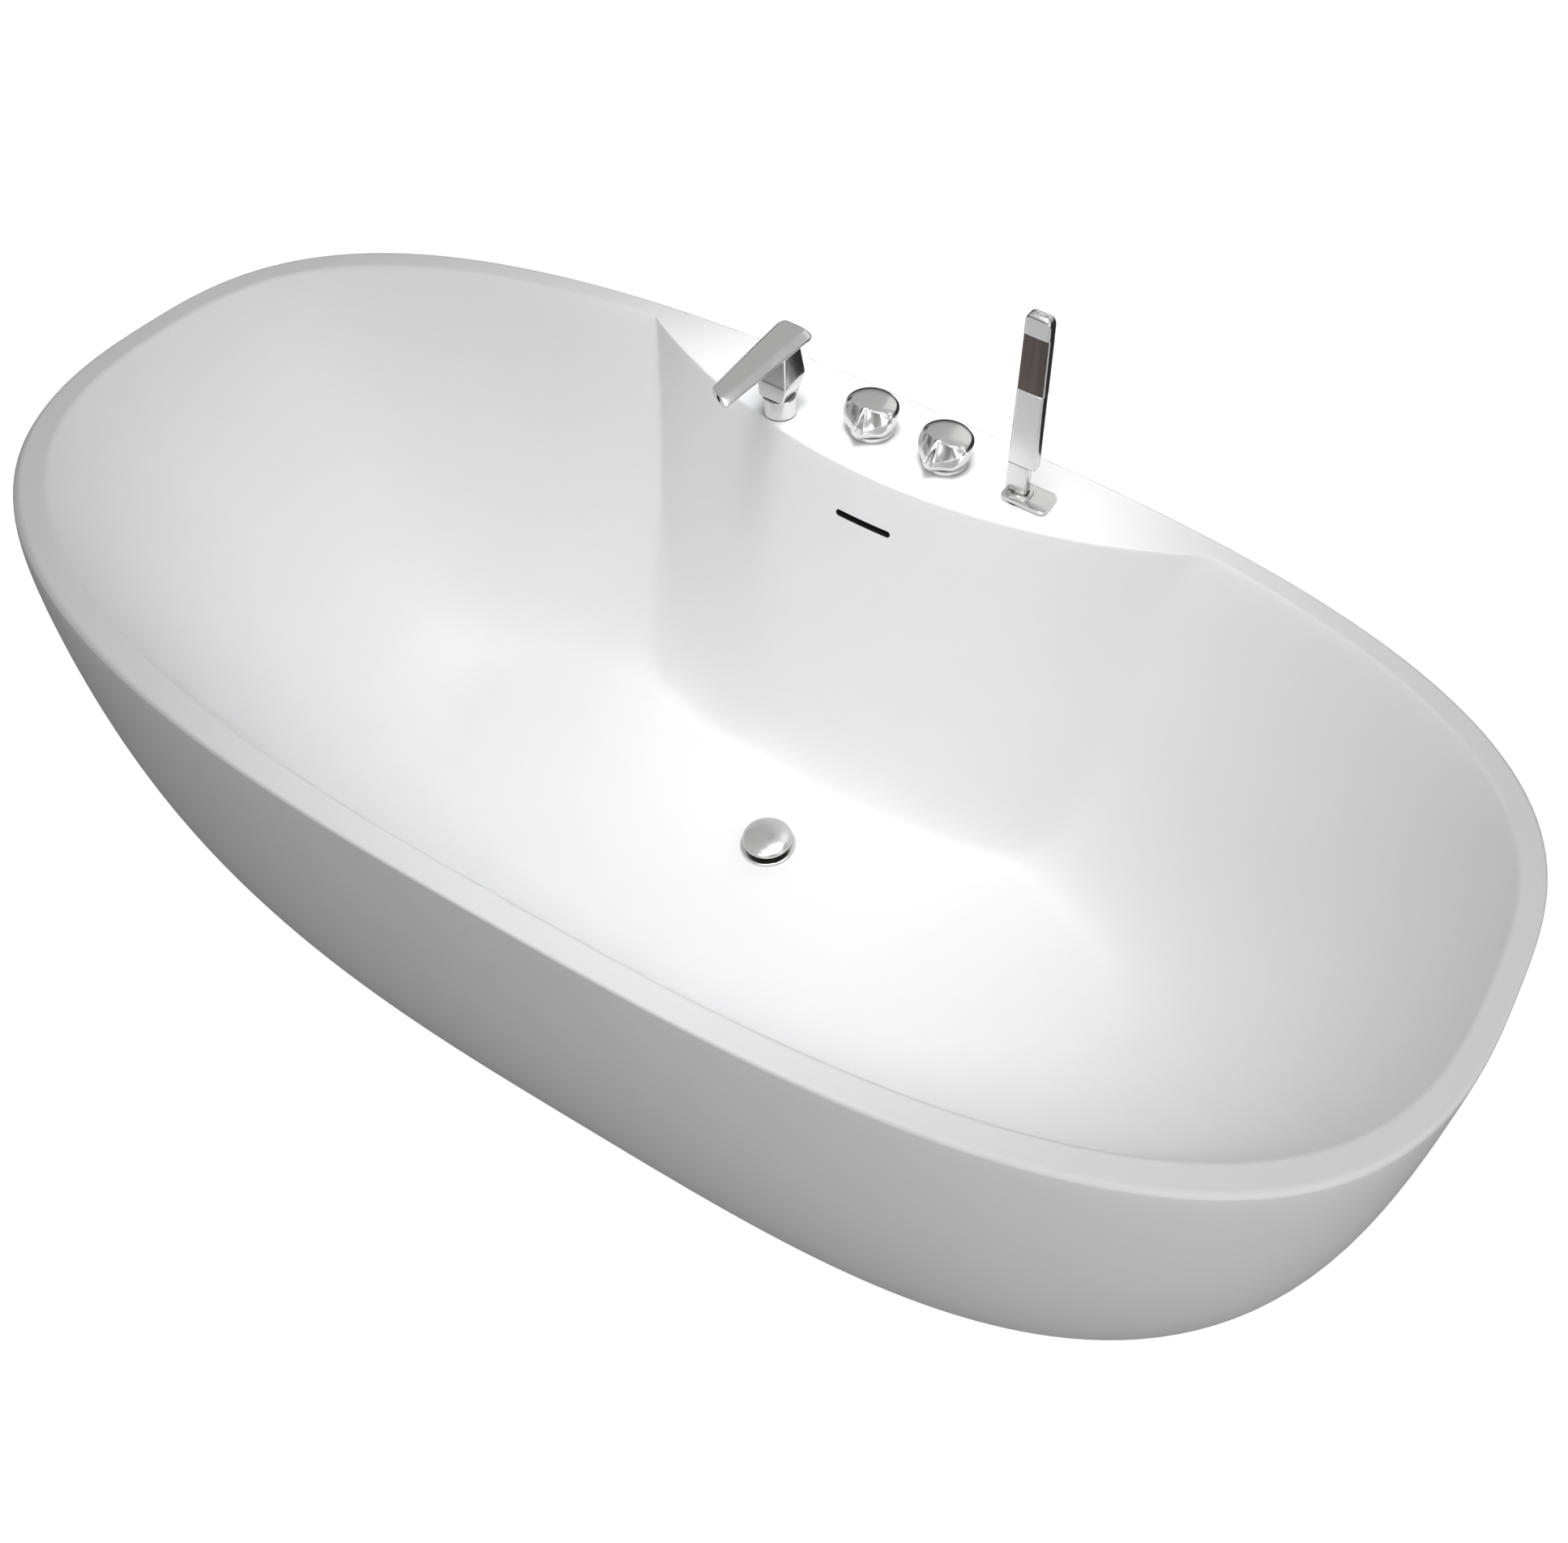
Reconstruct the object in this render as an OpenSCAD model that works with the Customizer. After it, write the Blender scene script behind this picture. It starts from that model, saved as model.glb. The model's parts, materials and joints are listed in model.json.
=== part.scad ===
/* Freestanding bathtub with a deck for a four-hole tap set.
   Millimetres, +Z up. The origin is on the floor under the middle of the tub's box.
   +X runs along the tub, +Y points to the deck side.
   The tub is two shells, an inner basin and an outer skirt, on a steel frame with feet.
   Outlines are superellipses in polar form, drawn about the waste. */

/* [Tub outline] */
// Length over the rim
tub_len = 1700; // [1600:10:1800]
// Half width from the waste to the side without taps
half_near = 428; // [410:1:440]
// Half width from the waste to the tap side
half_far = 390; // [380:1:400]
// Height of the rim above the floor
tub_h = 580; // [560:5:600]
// Width of the flat rim
rim_w = 27; // [22:1:32]
// Squareness of the outline at the left end
round_left = 2.62; // [2.2:0.01:3]
// Squareness of the outline at the right end
round_right = 2.84; // [2.2:0.01:3]

/* [Skirt] */
// Half length of the skirt where it meets the floor
foot_half_len = 717; // [680:1:760]
// Width of the foot as a share of the rim's width
foot_width_share = 0.868; // [0.8:0.001:0.95]
// Curvature of the skirt from rim to floor
skirt_power = 3.3; // [2:0.1:5]
// Squareness of the outline at the floor
round_foot = 3.25; // [2.5:0.05:3.6]
// Thickness of the skirt
skirt_t = 9; // [7:1:12]
// Depth of the basin's lip, where the skirt's top edge meets it
lip_h = 14; // [12:1:18]

/* [Basin] */
// Depth of the basin at the waste
basin_d = 425; // [400:5:440]
// Thickness of the basin's shell
shell_t = 10; // [8:1:12]
// Straight draft of the two ends, rim to floor
end_draft = 235; // [200:5:260]
// Hollow fillet of the two ends at the floor
end_fillet = 150; // [120:5:170]
// Straight draft of the side away from the taps
near_draft = 120; // [100:5:140]
// Fillet of that side at the floor
near_fillet = 110; // [80:5:130]
// Draft of the tap side beyond the deck
far_draft = 140; // [120:5:160]
// Fillet of the tap side at the floor
far_fillet = 85; // [60:5:100]

/* [Deck] */
// Radius of the deck's front edge, which bulges into the basin
deck_r = 773; // [740:1:810]
// Distance from the waste to the deck's front edge
deck_front = 248; // [240:1:256]
// Offset of the deck's middle along the tub
deck_shift = -8; // [-12:1:4]
// Draft of the deck's front wall, rim to floor
deck_draft = 106; // [90:1:120]
// Fillet of the deck's front wall at the floor
deck_fillet = 50; // [40:1:60]
// Distance between neighbouring tap holes
tap_pitch = 100; // [90:1:110]
// Distance from the waste to the row of tap holes
tap_row = 317; // [312:1:322]
// Radius of the three holes for the knobs and the hand shower
tap_hole_r = 17.5; // [17:0.5:18]
// Radius of the hole for the spout
spout_hole_r = 12.5; // [11.5:0.5:13]
// Thickness of the plywood stiffener under the deck
deck_board_t = 9; // [6:1:12]

/* [Overflow] */
// Depth of the overflow slot below the rim
slot_depth = 62; // [55:1:75]
// Length of the slot
slot_len = 74; // [60:1:80]
// Height of the slot
slot_h = 8; // [6:1:10]
// Outer radius of the overflow hose
hose_r = 11; // [9:0.5:12]

/* [Waste] */
// Radius of the waste hole in the floor
waste_hole_r = 24; // [22:0.5:26]
// Radius of the pop-up cap
cap_r = 31; // [28:0.5:33]
// Height of the open cap above the flange
cap_lift = 9; // [6:0.5:10]
// Radius of the outlet pipe
outlet_r = 20; // [16:0.5:21]

/* [Spout] */
// Length of the spout's blade
blade_len = 160; // [150:1:175]
// Width of the blade at its back end
blade_back_w = 46; // [40:1:52]
// Width of the blade at its front end
blade_front_w = 31; // [26:1:40]
// Thickness of the blade
blade_t = 9; // [7:1:12]
// Height of the blade's top above the deck
blade_h = 96; // [85:1:110]
// Radius of the spout's foot
spout_foot_r = 20; // [18:0.5:23]

/* [Knobs] */
// Radius of a knob
knob_r = 30; // [27:0.5:33]
// Height of a knob
knob_h = 42; // [32:1:46]
// Reach of the finger grip from the knob's axis
grip_reach = 38; // [35:1:44]
// Direction of the mixer's grip, from +X
mixer_grip_deg = 272; // [220:2:300]
// Direction of the diverter's grip, from +X
diverter_grip_deg = 262; // [220:2:300]

/* [Hand shower] */
// Width of the hand shower
shower_w = 36; // [32:1:40]
// Thickness of the hand shower
shower_t = 14; // [12:1:22]
// Height of its top above the deck
shower_top = 246; // [230:1:260]
// Height of the lower edge of the spray face above the deck
face_low = 150; // [140:1:160]
// Height of the upper edge of the spray face above the deck
face_high = 221; // [210:1:228]

/* [Frame and feet] */
// Length of the two rails
rail_len = 760; // [700:10:820]
// Distance between the rails' axes
rail_gap = 190; // [180:5:196]
// Side of the square tube
tube_s = 30; // [25:1:30]
// Thickness of the plywood panel under the basin's floor
floor_board_t = 12; // [9:1:15]
// Radius of a foot's pad
pad_r = 25; // [20:1:30]
// Radius of a foot's stud
stud_r = 6; // [5:0.5:8]

/* [Hidden] */
$fn = 64;
hair = 0.3;
// the waste is the centre of every outline; in the row frame it is off the middle by this much
cy = (half_near - half_far) / 2;
half_len = tub_len / 2;
floor_z = tub_h - basin_d;
under_z = floor_z - shell_t;
deck_under = tub_h - lip_h;
board_under = deck_under - deck_board_t;
tap_y = cy + tap_row;
spout_x = -1.55 * tap_pitch;
mixer_x = -0.5 * tap_pitch;
diverter_x = 0.5 * tap_pitch;
shower_x = 1.5 * tap_pitch;
spout_y = tap_y - 33;
hole_x = [spout_x, mixer_x, diverter_x, shower_x];
hole_y = [spout_y, tap_y, tap_y, tap_y];
hole_r = [spout_hole_r, tap_hole_r, tap_hole_r, tap_hole_r];
rail_top = under_z - floor_board_t;
rail_z = rail_top - tube_s / 2;
foot_x = rail_len / 2 - 40;

// ---------- outlines ----------

// polar radius of a superellipse with half axes a, b and exponent n
function super_r(th, a, b, n) =
    pow(pow(abs(cos(th)) / a, n) + pow(abs(sin(th)) / b, n), -1 / n);
function round_at(th) = cos(th) < 0 ? round_left : round_right;
function side_at(th) = sin(th) < 0 ? half_near : half_far;

// share of the way from foot to rim at a height z, and the skirt's outer radius there
function skirt_g(z) = 1 - pow(1 - z / tub_h, skirt_power);
function skirt_n(th, z) =
    let (k = pow(1 - z / tub_h, 0.4)) round_at(th) * (1 - k) + round_foot * k;
function skirt_radius(th, z) =
    let (g = skirt_g(z))
    super_r(th, foot_half_len + (half_len - foot_half_len) * g,
            side_at(th) * (foot_width_share + (1 - foot_width_share) * g), skirt_n(th, z));

// fillet that is nothing at the rim and turns flat at the floor, for a depth share s
function fillet(s) = 1 - pow(max(0, 1 - pow(s, 3)), 1 / 3);
function bowl_radius(th, s) =
    let (f = fillet(s),
         d_side = sin(th) < 0 ? near_draft * s + near_fillet * f
                              : far_draft * pow(s, 0.8) + far_fillet * f)
    super_r(th, half_len - rim_w - end_draft * s - end_fillet * f,
            side_at(th) - rim_w - d_side, round_at(th) * (1 - s) + 2.3 * s);

// the deck's front wall is a cone about an upright axis behind the tub
function deck_radius(th, s) =
    let (rho = deck_r + deck_draft * s + deck_fillet * fillet(s),
         ccx = deck_shift, ccy = deck_front + deck_r,
         along = ccx * cos(th) + ccy * sin(th),
         disc = along * along - ccx * ccx - ccy * ccy + rho * rho)
    (disc > 0 && along > 0) ? along - sqrt(disc) : 1e4;

// basin's inner radius: the bowl, cut short by the deck's front wall
function basin_radius(th, s) = min(bowl_radius(th, s), deck_radius(th, s));

// directions round the tub, closer together where the deck's wall meets the bowl
angles = concat([for (a = [0:4:36]) a], [for (a = [38:2:54]) a], [for (a = [60:6:120]) a],
                [for (a = [126:2:142]) a], [for (a = [144:4:240]) a],
                [for (a = [246:6:294]) a], [for (a = [300:4:356]) a]);
inner_levels = [0, 0.06, 0.17, 0.3, 0.45, 0.6, 0.74, 0.86, 0.94, 0.985, 1];
pan_r = 60;

function ring(radii, z) =
    [for (i = [0:len(angles) - 1])
        [radii[i] * cos(angles[i]), cy + radii[i] * sin(angles[i]), z]];

// faces between successive rings; wrap joins the last ring to the first
function band_faces(rings, n, wrap) =
    [for (k = [0:(wrap ? rings - 1 : rings - 2)], i = [0:n - 1])
        let (j = (i + 1) % n, a = k * n, b = ((k + 1) % rings) * n)
        each [[a + i, b + i, b + j], [a + i, b + j, a + j]]];

module loft(rings) {
    n = len(rings[0]);
    last = (len(rings) - 1) * n;
    polyhedron(points = [for (r = rings) each r],
               faces = concat(band_faces(len(rings), n, false),
                              [[for (i = [0:n - 1]) i]],
                              [[for (i = [n - 1:-1:0]) last + i]]), convexity = 12);
}

module ring_loft(rings) {
    polyhedron(points = [for (r = rings) each r],
               faces = band_faces(len(rings), len(rings[0]), true), convexity = 12);
}

// ---------- small shapes ----------

module tube(r_out, r_in, h) {
    difference() {
        cylinder(r = r_out, h = h);
        translate([0, 0, -1]) cylinder(r = r_in, h = h + 2);
    }
}

module hex_nut(r, bore, h) {
    difference() {
        cylinder(r = r, h = h, $fn = 6);
        translate([0, 0, -1]) cylinder(r = bore, h = h + 2);
    }
}

// outline of a bar with rounded corners, centred
module soft_square(w, d, r) {
    square([w - 2 * r, d], center = true);
    square([w, d - 2 * r], center = true);
    for (x = [-1, 1], y = [-1, 1])
        translate([x * (w / 2 - r), y * (d / 2 - r)]) circle(r = r);
}

// a round hose swept along points, with a ring of sides at each
function unit(v) = v / norm(v);
module swept(path, r, sides) {
    n = len(path);
    rings = [for (i = [0:n - 1])
        let (t = unit(path[min(i + 1, n - 1)] - path[max(i - 1, 0)]),
             u = [1, 0, 0], w = cross(t, u))
        [for (k = [0:sides - 1])
            path[i] + r * (cos(360 * k / sides) * u + sin(360 * k / sides) * w)]];
    loft(rings);
}

// ---------- shells ----------

module basin() {
    under = [for (s = inner_levels)
        ring([for (th = angles) basin_radius(th, s) + shell_t],
             tub_h - lip_h - s * (basin_d + shell_t - lip_h))];
    inner = [for (s = inner_levels)
        ring([for (th = angles) basin_radius(th, s)], tub_h - s * basin_d)];
    down = [for (k = [len(inner_levels) - 1:-1:0]) under[k]];
    color("white")
    difference() {
        loft(concat(
            [ring([for (th = angles) pan_r], under_z)],
            down,
            [ring([for (th = angles) skirt_radius(th, tub_h - lip_h)], tub_h - lip_h)],
            [ring([for (th = angles) skirt_radius(th, tub_h)], tub_h)],
            inner,
            [ring([for (th = angles) pan_r], floor_z)]));
        for (i = [0:3]) translate([hole_x[i], hole_y[i], tub_h - 40])
            cylinder(r = hole_r[i], h = 60);
        translate([0, cy, under_z - 5]) cylinder(r = waste_hole_r, h = 30);
        overflow_slot();
    }
}

// the slot goes straight through the deck's front wall
module overflow_slot() {
    y = cy + deck_front - deck_draft * slot_depth / basin_d;
    translate([deck_shift, y + 18, tub_h - slot_depth]) rotate([90, 0, 0])
    linear_extrude(34) {
        square([slot_len - slot_h, slot_h], center = true);
        for (x = [-1, 1]) translate([x * (slot_len - slot_h) / 2, 0]) circle(r = slot_h / 2);
    }
}

module skirt() {
    flange_w = 22;
    flange_t = 8;
    heights = [0, 40, 90, 150, 220, 300, 390, 480, tub_h - lip_h];
    outer = [for (z = heights) ring([for (th = angles) skirt_radius(th, z)], z)];
    inside = [for (k = [len(heights) - 1:-1:1])
        ring([for (th = angles) skirt_radius(th, heights[k]) - skirt_t], heights[k])];
    color("white")
    ring_loft(concat(outer, inside,
        [ring([for (th = angles) skirt_radius(th, flange_t) - skirt_t], flange_t)],
        [ring([for (th = angles) skirt_radius(th, flange_t) - skirt_t - flange_w], flange_t)],
        [ring([for (th = angles) skirt_radius(th, 0) - skirt_t - flange_w], 0)]));
}

// ---------- frame and feet ----------

module floor_board() {
    color("burlywood")
    translate([0, cy, rail_top])
    difference() {
        linear_extrude(floor_board_t - hair) soft_square(rail_len, rail_gap + tube_s, 12);
        translate([0, 0, -1]) cylinder(r = 45, h = floor_board_t + 2);
    }
}

module rail(side) {
    color("dimgray")
    translate([0, cy + side * rail_gap / 2, rail_z])
    difference() {
        cube([rail_len, tube_s, tube_s], center = true);
        cube([rail_len + 2, tube_s - 4, tube_s - 4], center = true);
    }
}

module front_rail() { rail(-1); }
module rear_rail() { rail(1); }

module cross_bars() {
    color("dimgray")
    for (x = [-300, -110, 110, 300])
        translate([x, cy, rail_z])
        difference() {
            cube([tube_s, rail_gap - tube_s, tube_s], center = true);
            cube([tube_s - 4, rail_gap - tube_s + 2, tube_s - 4], center = true);
        }
}

module at_feet() {
    for (x = [-1, 1], y = [-1, 1])
        translate([x * foot_x, cy + y * rail_gap / 2, 0]) children();
}

module foot_studs() {
    color("silver")
    at_feet() translate([0, 0, 10]) cylinder(r = stud_r, h = rail_top - tube_s - 10);
}

module foot_locknuts() {
    color("silver")
    at_feet() translate([0, 0, rail_top - tube_s - 10]) hex_nut(10.5, stud_r, 10);
}

module foot_pads() {
    color("black")
    at_feet() rotate_extrude()
        polygon([[0, 0], [pad_r, 0], [pad_r, 4], [12, 10], [0, 10]]);
}

module deck_board() {
    inset = 12;
    half_board = 200;
    front = [for (x = [-half_board:25:half_board])
        [x, cy + deck_front + deck_r
            - sqrt(deck_r * deck_r - pow(x - deck_shift, 2)) + shell_t + 4]];
    back_y = cy + half_far - skirt_t - inset;
    color("burlywood")
    translate([0, 0, board_under])
    difference() {
        linear_extrude(deck_board_t - hair)
            polygon(concat(front, [[half_board, back_y - 8], [-half_board, back_y - 8]]));
        for (i = [0:3]) translate([hole_x[i], hole_y[i], -1])
            cylinder(r = hole_r[i], h = 20);
    }
}

// ---------- waste ----------

flange_top = floor_z + 2.5;
cap_low = flange_top + cap_lift;

// flange with its threaded barrel, and three ribs that hold the click cartridge
module waste_flange() {
    color("silver")
    translate([0, cy, 0]) {
        difference() {
            union() {
                translate([0, 0, floor_z]) cylinder(r1 = 35, r2 = 33.5, h = 2.5);
                translate([0, 0, 96]) cylinder(r = 22.5, h = floor_z - 96 + 1);
            }
            translate([0, 0, 90]) cylinder(r = 19.5, h = 80);
        }
        for (a = [30, 150, 270]) rotate([0, 0, a])
            translate([8, -1.5, 118]) cube([13, 3, 14]);
    }
}

module waste_gasket() {
    color("black") translate([0, cy, under_z - 4]) tube(34, 22.6, 4 - 0.05);
}

module waste_backnut() {
    color("darkgoldenrod") translate([0, cy, under_z - 12]) tube(33, 22.5, 8);
}

// elbowless body: barrel above, overflow port to the tap side, outlet below
module waste_body() {
    color("darkgoldenrod")
    translate([0, cy, 0])
    difference() {
        union() {
            translate([0, 0, 58]) cylinder(r = 28, h = 66);
            translate([0, 20, 82]) rotate([-90, 0, 0]) cylinder(r = 9, h = 34);
            translate([0, 0, 46]) cylinder(r = 24, h = 13);
        }
        translate([0, 0, 95]) cylinder(r = 22.5, h = 40);
        translate([0, 0, 40]) cylinder(r = 17, h = 60);
        translate([0, 10, 82]) rotate([-90, 0, 0]) cylinder(r = 7, h = 50);
    }
}

module waste_outlet() {
    color("gray")
    translate([0, cy, 6]) tube(outlet_r, outlet_r - 3, 40);
}

module click_cartridge() {
    color("darkgoldenrod")
    translate([0, cy, 112]) tube(8, 4.05, 30);
}

module popup_stem() {
    color("silver")
    translate([0, cy, 122]) cylinder(r = 4, h = cap_low - 122);
}

// domed cap, hollow below for the stem's head
module popup_cap() {
    color("silver")
    translate([0, cy, cap_low]) rotate_extrude($fn = 72)
        polygon(concat([[0, 0], [cap_r - 2, 0], [cap_r, 1.2], [cap_r, 2.6]],
                       [for (a = [10:10:90]) [cap_r * cos(a), 2.6 + 6.5 * sin(a)]]));
}

module cap_seal() {
    color("black")
    translate([0, cy, cap_low - 2.4]) tube(18.9, 14, 2.4);
}

// ---------- overflow ----------

wall_tilt = atan(deck_draft / basin_d);

// frame on the back of the deck's front wall, at the slot, leaning with the wall
module at_overflow() {
    y = cy + deck_front + shell_t + 1.2 - (deck_draft / basin_d) * (slot_depth - lip_h);
    translate([deck_shift, y, tub_h - slot_depth]) rotate([-wall_tilt, 0, 0]) children();
}

module overflow_gasket() {
    color("black")
    at_overflow() rotate([-90, 0, 0]) linear_extrude(3.5)
        difference() {
            soft_square(slot_len + 22, slot_h + 22, 8);
            soft_square(slot_len + 4, slot_h + 4, 4);
        }
}

module overflow_housing() {
    color("gray")
    at_overflow() translate([0, 3.6, 0])
    difference() {
        union() {
            rotate([-90, 0, 0]) linear_extrude(17) soft_square(slot_len + 22, slot_h + 22, 8);
            translate([0, 8.5, -36]) cylinder(r = 8, h = 24);
        }
        translate([0, -1, 0]) rotate([-90, 0, 0])
            linear_extrude(15) soft_square(slot_len + 6, slot_h + 6, 4);
        translate([0, 8.5, -40]) cylinder(r = 6, h = 40);
    }
}

// the hose is held at both ends inside the tub
function bezier(a, b, c, d, t) =
    pow(1 - t, 3) * a + 3 * pow(1 - t, 2) * t * b + 3 * (1 - t) * t * t * c + pow(t, 3) * d;
hose_top = [deck_shift, cy + deck_front + 2.5, tub_h - slot_depth - 33];
hose_end = [0, cy + 44, 82];
hose_path = [for (i = [0:22])
    bezier(hose_top, hose_top + [0, -6, -230], hose_end + [0, 260, 0], hose_end, i / 22)];

module overflow_hose() {
    color("lightgray")
    difference() {
        swept(hose_path, hose_r, 12);
        at_overflow() translate([0, 12.1, -60]) cylinder(r = 8.05, h = 60);
        translate([0, cy + 20, 82]) rotate([-90, 0, 0]) cylinder(r = 9.05, h = 34.5);
    }
}

module hose_clamps() {
    color("silver") {
        at_overflow() translate([0, 12.1, -37]) tube(hose_r + 1.9, hose_r + 0.6, 9);
        translate([0, cy + 46, 82]) rotate([-90, 0, 0]) tube(hose_r + 1.9, hose_r + 0.6, 8);
    }
}

// ---------- spout ----------

blade_back_y = spout_y + 42;
blade_z = tub_h + blade_h - blade_t;
foot_h = 26;

// points of a round corner between two directions
function corner(x, y, r, a0) = [for (a = [a0:15:a0 + 90]) [x + r * cos(a), y + r * sin(a)]];

// tapering plate with rounded corners; the water leaves by a slot in its front end
module spout_blade() {
    rb = 8;
    rf = 6;
    xb = blade_back_w / 2 - rb;
    xf = blade_front_w / 2 - rf;
    slot_t = 4;
    color("silver")
    translate([spout_x, blade_back_y, blade_z])
    difference() {
        linear_extrude(blade_t)
            polygon(concat(corner(xb, -rb, rb, 0), corner(-xb, -rb, rb, 90),
                           corner(-xf, rf - blade_len, rf, 180),
                           corner(xf, rf - blade_len, rf, 270)));
        translate([-xf - 2, -blade_len - 10, (blade_t - slot_t) / 2])
            cube([2 * xf + 4, 60, slot_t]);
    }
}

// leaning neck between the foot and the blade
module spout_neck() {
    low = tub_h + foot_h + 1;
    high = blade_z;
    color("silver")
    translate([spout_x + 15, 0, 0]) rotate([0, -90, 0]) linear_extrude(30)
        polygon([[low, spout_y - 17], [low, spout_y + 16], [low + 12, spout_y + 22],
                 [high, spout_y + 36], [high, spout_y + 4], [low + 22, spout_y - 12]]);
}

module spout_foot() {
    color("silver")
    translate([spout_x, spout_y, tub_h + 1.5])
        tube(spout_foot_r, 11.05, foot_h - 1.5);
}

module spout_shank() {
    color("darkgoldenrod")
    translate([spout_x, spout_y, 512]) tube(11, 8, tub_h + foot_h - 512);
}

module spout_union() {
    color("silver") translate([spout_x, spout_y, 498]) hex_nut(16, pipe_r + 0.02, 14);
}

// ---------- valves ----------

module handle_shape(x, grip_deg) {
    skirt_low = tub_h + 7;
    translate([x, tap_y, skirt_low])
    difference() {
        union() {
            cylinder(r1 = knob_r, r2 = knob_r - 4, h = knob_h - 7);
            rotate([0, 0, grip_deg]) translate([0, 0, 3]) linear_extrude(14)
                polygon([[14, -14], [grip_reach - 6, -5], [grip_reach, -2],
                         [grip_reach, 2], [grip_reach - 6, 5], [14, 14]]);
        }
        translate([0, 0, -1]) cylinder(r = 20, h = 15);
        translate([0, 0, 5]) cylinder(r = 4.2, h = 17);
        rotate([0, 0, grip_deg + 180]) translate([0, 0, 19]) rotate([0, 90, 0])
            cylinder(r = 2, h = knob_r + 5);
    }
}

module grub_shape(x, grip_deg) {
    translate([x, tap_y, tub_h + 26]) rotate([0, 0, grip_deg + 180]) translate([5, 0, 0])
        rotate([0, 90, 0]) cylinder(r = 1.95, h = 9);
}

module spindle_shape(x) {
    translate([x, tap_y, tub_h - 18]) cylinder(r = 4.15, h = 42);
}

// ceramic cartridge: the spindle turns in its bore
module cartridge_shape(x) {
    translate([x, tap_y, tub_h - 22]) tube(12, 4.2, 34);
}

module base_ring_shape(x) {
    translate([x, tap_y, tub_h + 1.5]) tube(knob_r - 3, 16.6, 5);
}

// body under the deck from a height low up to 528, with a barrel up through the deck
valve_r = 25;
module valve_body_shape(x, low) {
    translate([x, tap_y, 0])
    difference() {
        union() {
            translate([0, 0, low]) cylinder(r = valve_r, h = 528 - low);
            translate([0, 0, 520]) cylinder(r = 16.5, h = tub_h + 7.5 - 520);
        }
        translate([0, 0, tub_h - 22]) cylinder(r = 12, h = 60);
    }
}

// socket bored into a valve body's side, towards a direction from +X
socket_in = 15;
socket_fit = 0.05;
module side_socket(x, z, deg, r) {
    translate([x, tap_y, z]) rotate([0, 0, deg]) translate([socket_in, 0, 0])
        rotate([0, 90, 0]) cylinder(r = r + socket_fit, h = valve_r);
}

module mixer_handle() { color("silver") handle_shape(mixer_x, mixer_grip_deg); }
module mixer_spindle() { color("darkgoldenrod") spindle_shape(mixer_x); }
module mixer_grub_screw() { color("dimgray") grub_shape(mixer_x, mixer_grip_deg); }
module mixer_base_ring() { color("silver") base_ring_shape(mixer_x); }
module mixer_cartridge() { color("gray") cartridge_shape(mixer_x); }

inlet_r = 10.48;
inlet_pitch = 36;
inlet_y = spout_y;
pipe_r = 7;
outlet_cone_r = 8;
link_z = 506;
pipe_z = 490;

// the hot and cold tails screw on to the two stubs below, which stand clear of the skirt's foot
module mixer_body() {
    block_low = 462;
    stub_low = 434;
    color("darkgoldenrod")
    difference() {
        union() {
            valve_body_shape(mixer_x, block_low);
            translate([mixer_x - 30, inlet_y - 14, block_low])
                cube([60, tap_y - inlet_y + 14, 14]);
            for (s = [-1, 1]) translate([mixer_x + s * inlet_pitch / 2, inlet_y, stub_low])
                tube(inlet_r, 6.5, block_low - stub_low + 0.5);
        }
        side_socket(mixer_x, link_z, 0, pipe_r);
    }
}

module diverter_handle() { color("silver") handle_shape(diverter_x, diverter_grip_deg); }
module diverter_spindle() { color("darkgoldenrod") spindle_shape(diverter_x); }
module diverter_grub_screw() { color("dimgray") grub_shape(diverter_x, diverter_grip_deg); }
module diverter_base_ring() { color("silver") base_ring_shape(diverter_x); }
module diverter_cartridge() { color("gray") cartridge_shape(diverter_x); }

module diverter_body() {
    color("darkgoldenrod")
    difference() {
        valve_body_shape(diverter_x, 478);
        side_socket(diverter_x, link_z, 180, pipe_r);
        side_socket(diverter_x, link_z, 0, outlet_cone_r);
        side_socket(diverter_x, pipe_z, 270, pipe_r);
    }
}

// how far from a valve's axis a pipe's end sits in its socket
pipe_start = socket_in + 0.1;

module link_pipe() {
    color("peru")
    translate([mixer_x + pipe_start, tap_y, link_z]) rotate([0, 90, 0])
        cylinder(r = pipe_r, h = tap_pitch - 2 * pipe_start);
}

// from the diverter's front, along the deck to the spout's union nut
module spout_pipe() {
    color("peru") {
        translate([diverter_x, tap_y - pipe_start, pipe_z]) rotate([90, 0, 0])
            cylinder(r = pipe_r, h = tap_y - pipe_start - spout_y);
        translate([diverter_x, spout_y, pipe_z]) sphere(r = pipe_r);
        translate([spout_x, spout_y, pipe_z]) rotate([0, 90, 0])
            cylinder(r = pipe_r, h = diverter_x - spout_x);
        translate([spout_x, spout_y, pipe_z]) sphere(r = pipe_r);
        translate([spout_x, spout_y, pipe_z]) cylinder(r = pipe_r, h = 22);
    }
}

// two bends bring the cone for the hand shower's hose clear of the skirt's foot; a collar ends the cone
module shower_outlet_elbow() {
    reach = 45;
    drop = 40;
    collar_r = outlet_cone_r + 1.5;
    collar_h = 14;
    color("darkgoldenrod") {
        translate([diverter_x + pipe_start, tap_y, link_z]) rotate([0, 90, 0])
            cylinder(r = outlet_cone_r, h = reach - pipe_start);
        translate([diverter_x + reach, tap_y, link_z]) sphere(r = outlet_cone_r);
        translate([diverter_x + reach, tap_y, link_z]) rotate([90, 0, 0])
            cylinder(r = outlet_cone_r, h = tap_y - inlet_y);
        translate([diverter_x + reach, inlet_y, link_z]) sphere(r = collar_r);
        translate([diverter_x + reach, inlet_y, link_z - collar_h])
            cylinder(r = collar_r, h = collar_h);
        translate([diverter_x + reach, inlet_y, link_z - drop])
            cylinder(r = outlet_cone_r, h = drop);
    }
}

// ---------- hand shower ----------

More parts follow.
